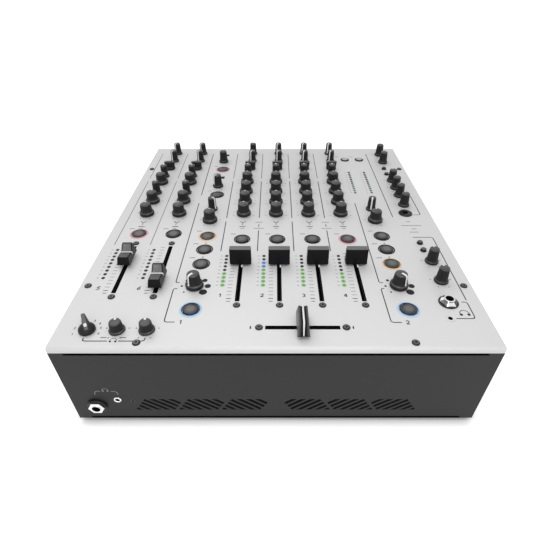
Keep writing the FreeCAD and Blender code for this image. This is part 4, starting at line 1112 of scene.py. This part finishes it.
# Short bold marks beside filter 1's tall knobs, and dashes of some half lengths under the small jack
BOLD_HALF, BOLD = 2.0, 6.0
for x, y in ((-63.2, 335.7), (-63.1, 268.6)):
    dash(x, y, BOLD_HALF, BOLD, PRINT)
for x, y, half in ((134.4, 160.3, 10.0), (134.2, 148.4, 4.4), (133.4, 167.8, 2.2), (135.7, 154.3, 2.4)):
    dash(x, y, half)

# A plain dash at the upper left of each round button, and dots between the filters' buttons
DASH_OFFSET = (-9.2, 9.2)
DASH_HALF = 2.4
FILTER_ROWS = FRONT + 90, FRONT + 130
FILTER_DOT, FILTER_DOT_RADIUS = 10.2, 0.7
for box in islands("panel_buttons") + [node_box(node) for node in CUE_BUTTONS]:
    x, y = middle(box)
    if half_width(box) < PUSH_RADIUS or y < FILTER_ROWS[0]:
        continue
    dash(x + DASH_OFFSET[0], y - FRONT + DASH_OFFSET[1], DASH_HALF, BAR)
    if FILTER_ROWS[0] < y < FILTER_ROWS[1]:
        panel_print.disc(x, y - FRONT + FILTER_DOT, FILTER_DOT_RADIUS, PRINT)
panel_print.piece("panel_print", sharp=180)

# Pale print and a pinhole beside the front sockets, in mm from the centre line and the panel's top
FRONT_LINE = 0.55
FRONT_LINES = (
    ((-139.3, -52.5), (-138.6, -48.4), (-134.4, -48.2)),
    ((-126.2, -48.4), (-122.0, -48.6), (-121.3, -52.5)),
)
PINHOLE, PINHOLE_RADIUS = (-111.9, -61.2), 0.8
PINHOLE_RIM = ((1.675, 0), (1.325, 0))
front_print = Shape().at(0, FRONT - PRINT_LIFT, TOP, tilt=90)
for path in FRONT_LINES:
    line(*path, width=FRONT_LINE, look=PRINT_PALE, on=front_print)
headphones(-130.3, -47.2, 2.3, PRINT_PALE, front_print)
# The pinhole is a black disc of painted shade
front_print.disc(*PINHOLE, PINHOLE_RADIUS, HOLLOW_SHADE)

# Black strips of painted shade along the head and the foot of the front face, for the gap under the lip and
# the dark underside of the bottom fold: (height of the middle, width)
LIP = 4.8
FOOT = 4.0
SHADE_STRIP_HALF = 149.5
for level, width in ((-LIP - 1.15, 2.1), (FOOT + 1.3 - TOP, 2.5)):
    dash(0, level, SHADE_STRIP_HALF, width, HOLLOW_SHADE, front_print)
front_print.at(PINHOLE[0], FRONT - PRINT_LIFT, TOP + PINHOLE[1], tilt=90)
front_print.lathe(PINHOLE_RIM, KNOB_SHEEN, slices=20, hollow=True)
front_print.piece("front_print", sharp=180)

# Camera of the photograph, from the panel's front edge and top
LENS, SENSOR = 27.114, 36.0
CAMERA_SIDE, CAMERA_BACK, CAMERA_UP, CAMERA_PITCH = -0.75, 191.84, 218.29, 38.59
camera_data = bpy.data.cameras.new("camera")
camera_data.lens, camera_data.sensor_width = LENS, SENSOR
camera = bpy.data.objects.new("camera", camera_data)
camera.location = Vector((CAMERA_SIDE, FRONT - CAMERA_BACK, TOP + CAMERA_UP)) * MM
camera.rotation_euler = (math.radians(90 - CAMERA_PITCH), 0, 0)
scene.collection.objects.link(camera)
scene.camera = camera

# Soft lamps: place, target and size in m, power in W
LAMPS = {
    "key_lamp": ((-0.55, 0.7, 1.4), (0, 0, 0.05), (1, 0.8), 4.6),
    "top_lamp": ((0.02, -0.25, 0.44), (0, -0.15, 0.08), (0.22, 0.22), 0.42),
    "front_lamp": ((0.1, -1.5, 0.6), (0, 0, 0.05), (1.4, 0.8), 4.6),
}
for name, (place, target, size, power) in LAMPS.items():
    lamp_data = bpy.data.lights.new(name, "AREA")
    lamp_data.shape, lamp_data.energy = "RECTANGLE", power
    lamp_data.size, lamp_data.size_y = size
    lamp = bpy.data.objects.new(name, lamp_data)
    lamp.location = place
    lamp.rotation_euler = (Vector(target) - Vector(place)).to_track_quat("-Z", "Y").to_euler()
    lamp.visible_camera = False
    scene.collection.objects.link(lamp)


def combine(tree, operation, first, second):
    """The result of a math node on two values of a node tree."""
    made = put(tree, "Math")
    made.operation = operation
    tree.links.new(first, made.inputs[0])
    tree.links.new(second, made.inputs[1])
    return made.outputs[0]


def seen_or_mirrored(tree):
    """A value that is 1 for rays from the camera or from a mirror or glass."""
    path = put(tree, "LightPath")
    total = path.outputs["Is Camera Ray"]
    for name in ("Is Glossy Ray", "Is Transmission Ray"):
        total = combine(tree, "MAXIMUM", total, path.outputs[name])
    return total


# A white world that lights less than it shows
AMBIENT = 0.55
PURE_WHITE = (1, 1, 1, 1)
world = bpy.data.worlds.new("studio")
scene.world = world
world.use_nodes = True
tree = world.node_tree
strength = put(tree, "MapRange", To_Min=AMBIENT, To_Max=1.0)
tree.links.new(seen_or_mirrored(tree), strength.inputs["Value"])
sky = fill(tree.nodes["Background"], Color=PURE_WHITE)
tree.links.new(strength.outputs["Result"], sky.inputs["Strength"])

# A pale floor that shows nearly white but for the narrow shadow under the case
FLOOR_HALF = 6.0
FLOOR_WHITE = 0.55
FLOOR_COLOUR = (0.95, 0.95, 0.95, 1)
FLOOR_ROUGH = 0.9
SHADOW_REACH = 0.01
floor_mesh = bpy.data.meshes.new("floor")
floor_mesh.from_pydata([(x * FLOOR_HALF, y * FLOOR_HALF, 0) for x, y in QUARTERS], [], [(0, 1, 2, 3)])
floor = bpy.data.objects.new("floor", floor_mesh)
scene.collection.objects.link(floor)
floor_look = bpy.data.materials.new("floor_white")
floor_look.use_nodes = True
tree = floor_look.node_tree
paper = tree.nodes["Principled BSDF"]
fill(paper, Roughness=FLOOR_ROUGH, Specular_IOR_Level=0.0, Emission_Color=PURE_WHITE)
share = put(tree, "Math")
share.operation = "MULTIPLY"
share.inputs[1].default_value = FLOOR_WHITE
tree.links.new(seen_or_mirrored(tree), share.inputs[0])
shade = put(tree, "AmbientOcclusion", Distance=SHADOW_REACH, Color=FLOOR_COLOUR)
tree.links.new(shade.outputs["Color"], paper.inputs["Base Color"])
glow = combine(tree, "MULTIPLY", share.outputs[0], shade.outputs["AO"])
tree.links.new(glow, paper.inputs["Emission Strength"])
floor_mesh.materials.append(floor_look)

scene.view_settings.view_transform = "Standard"
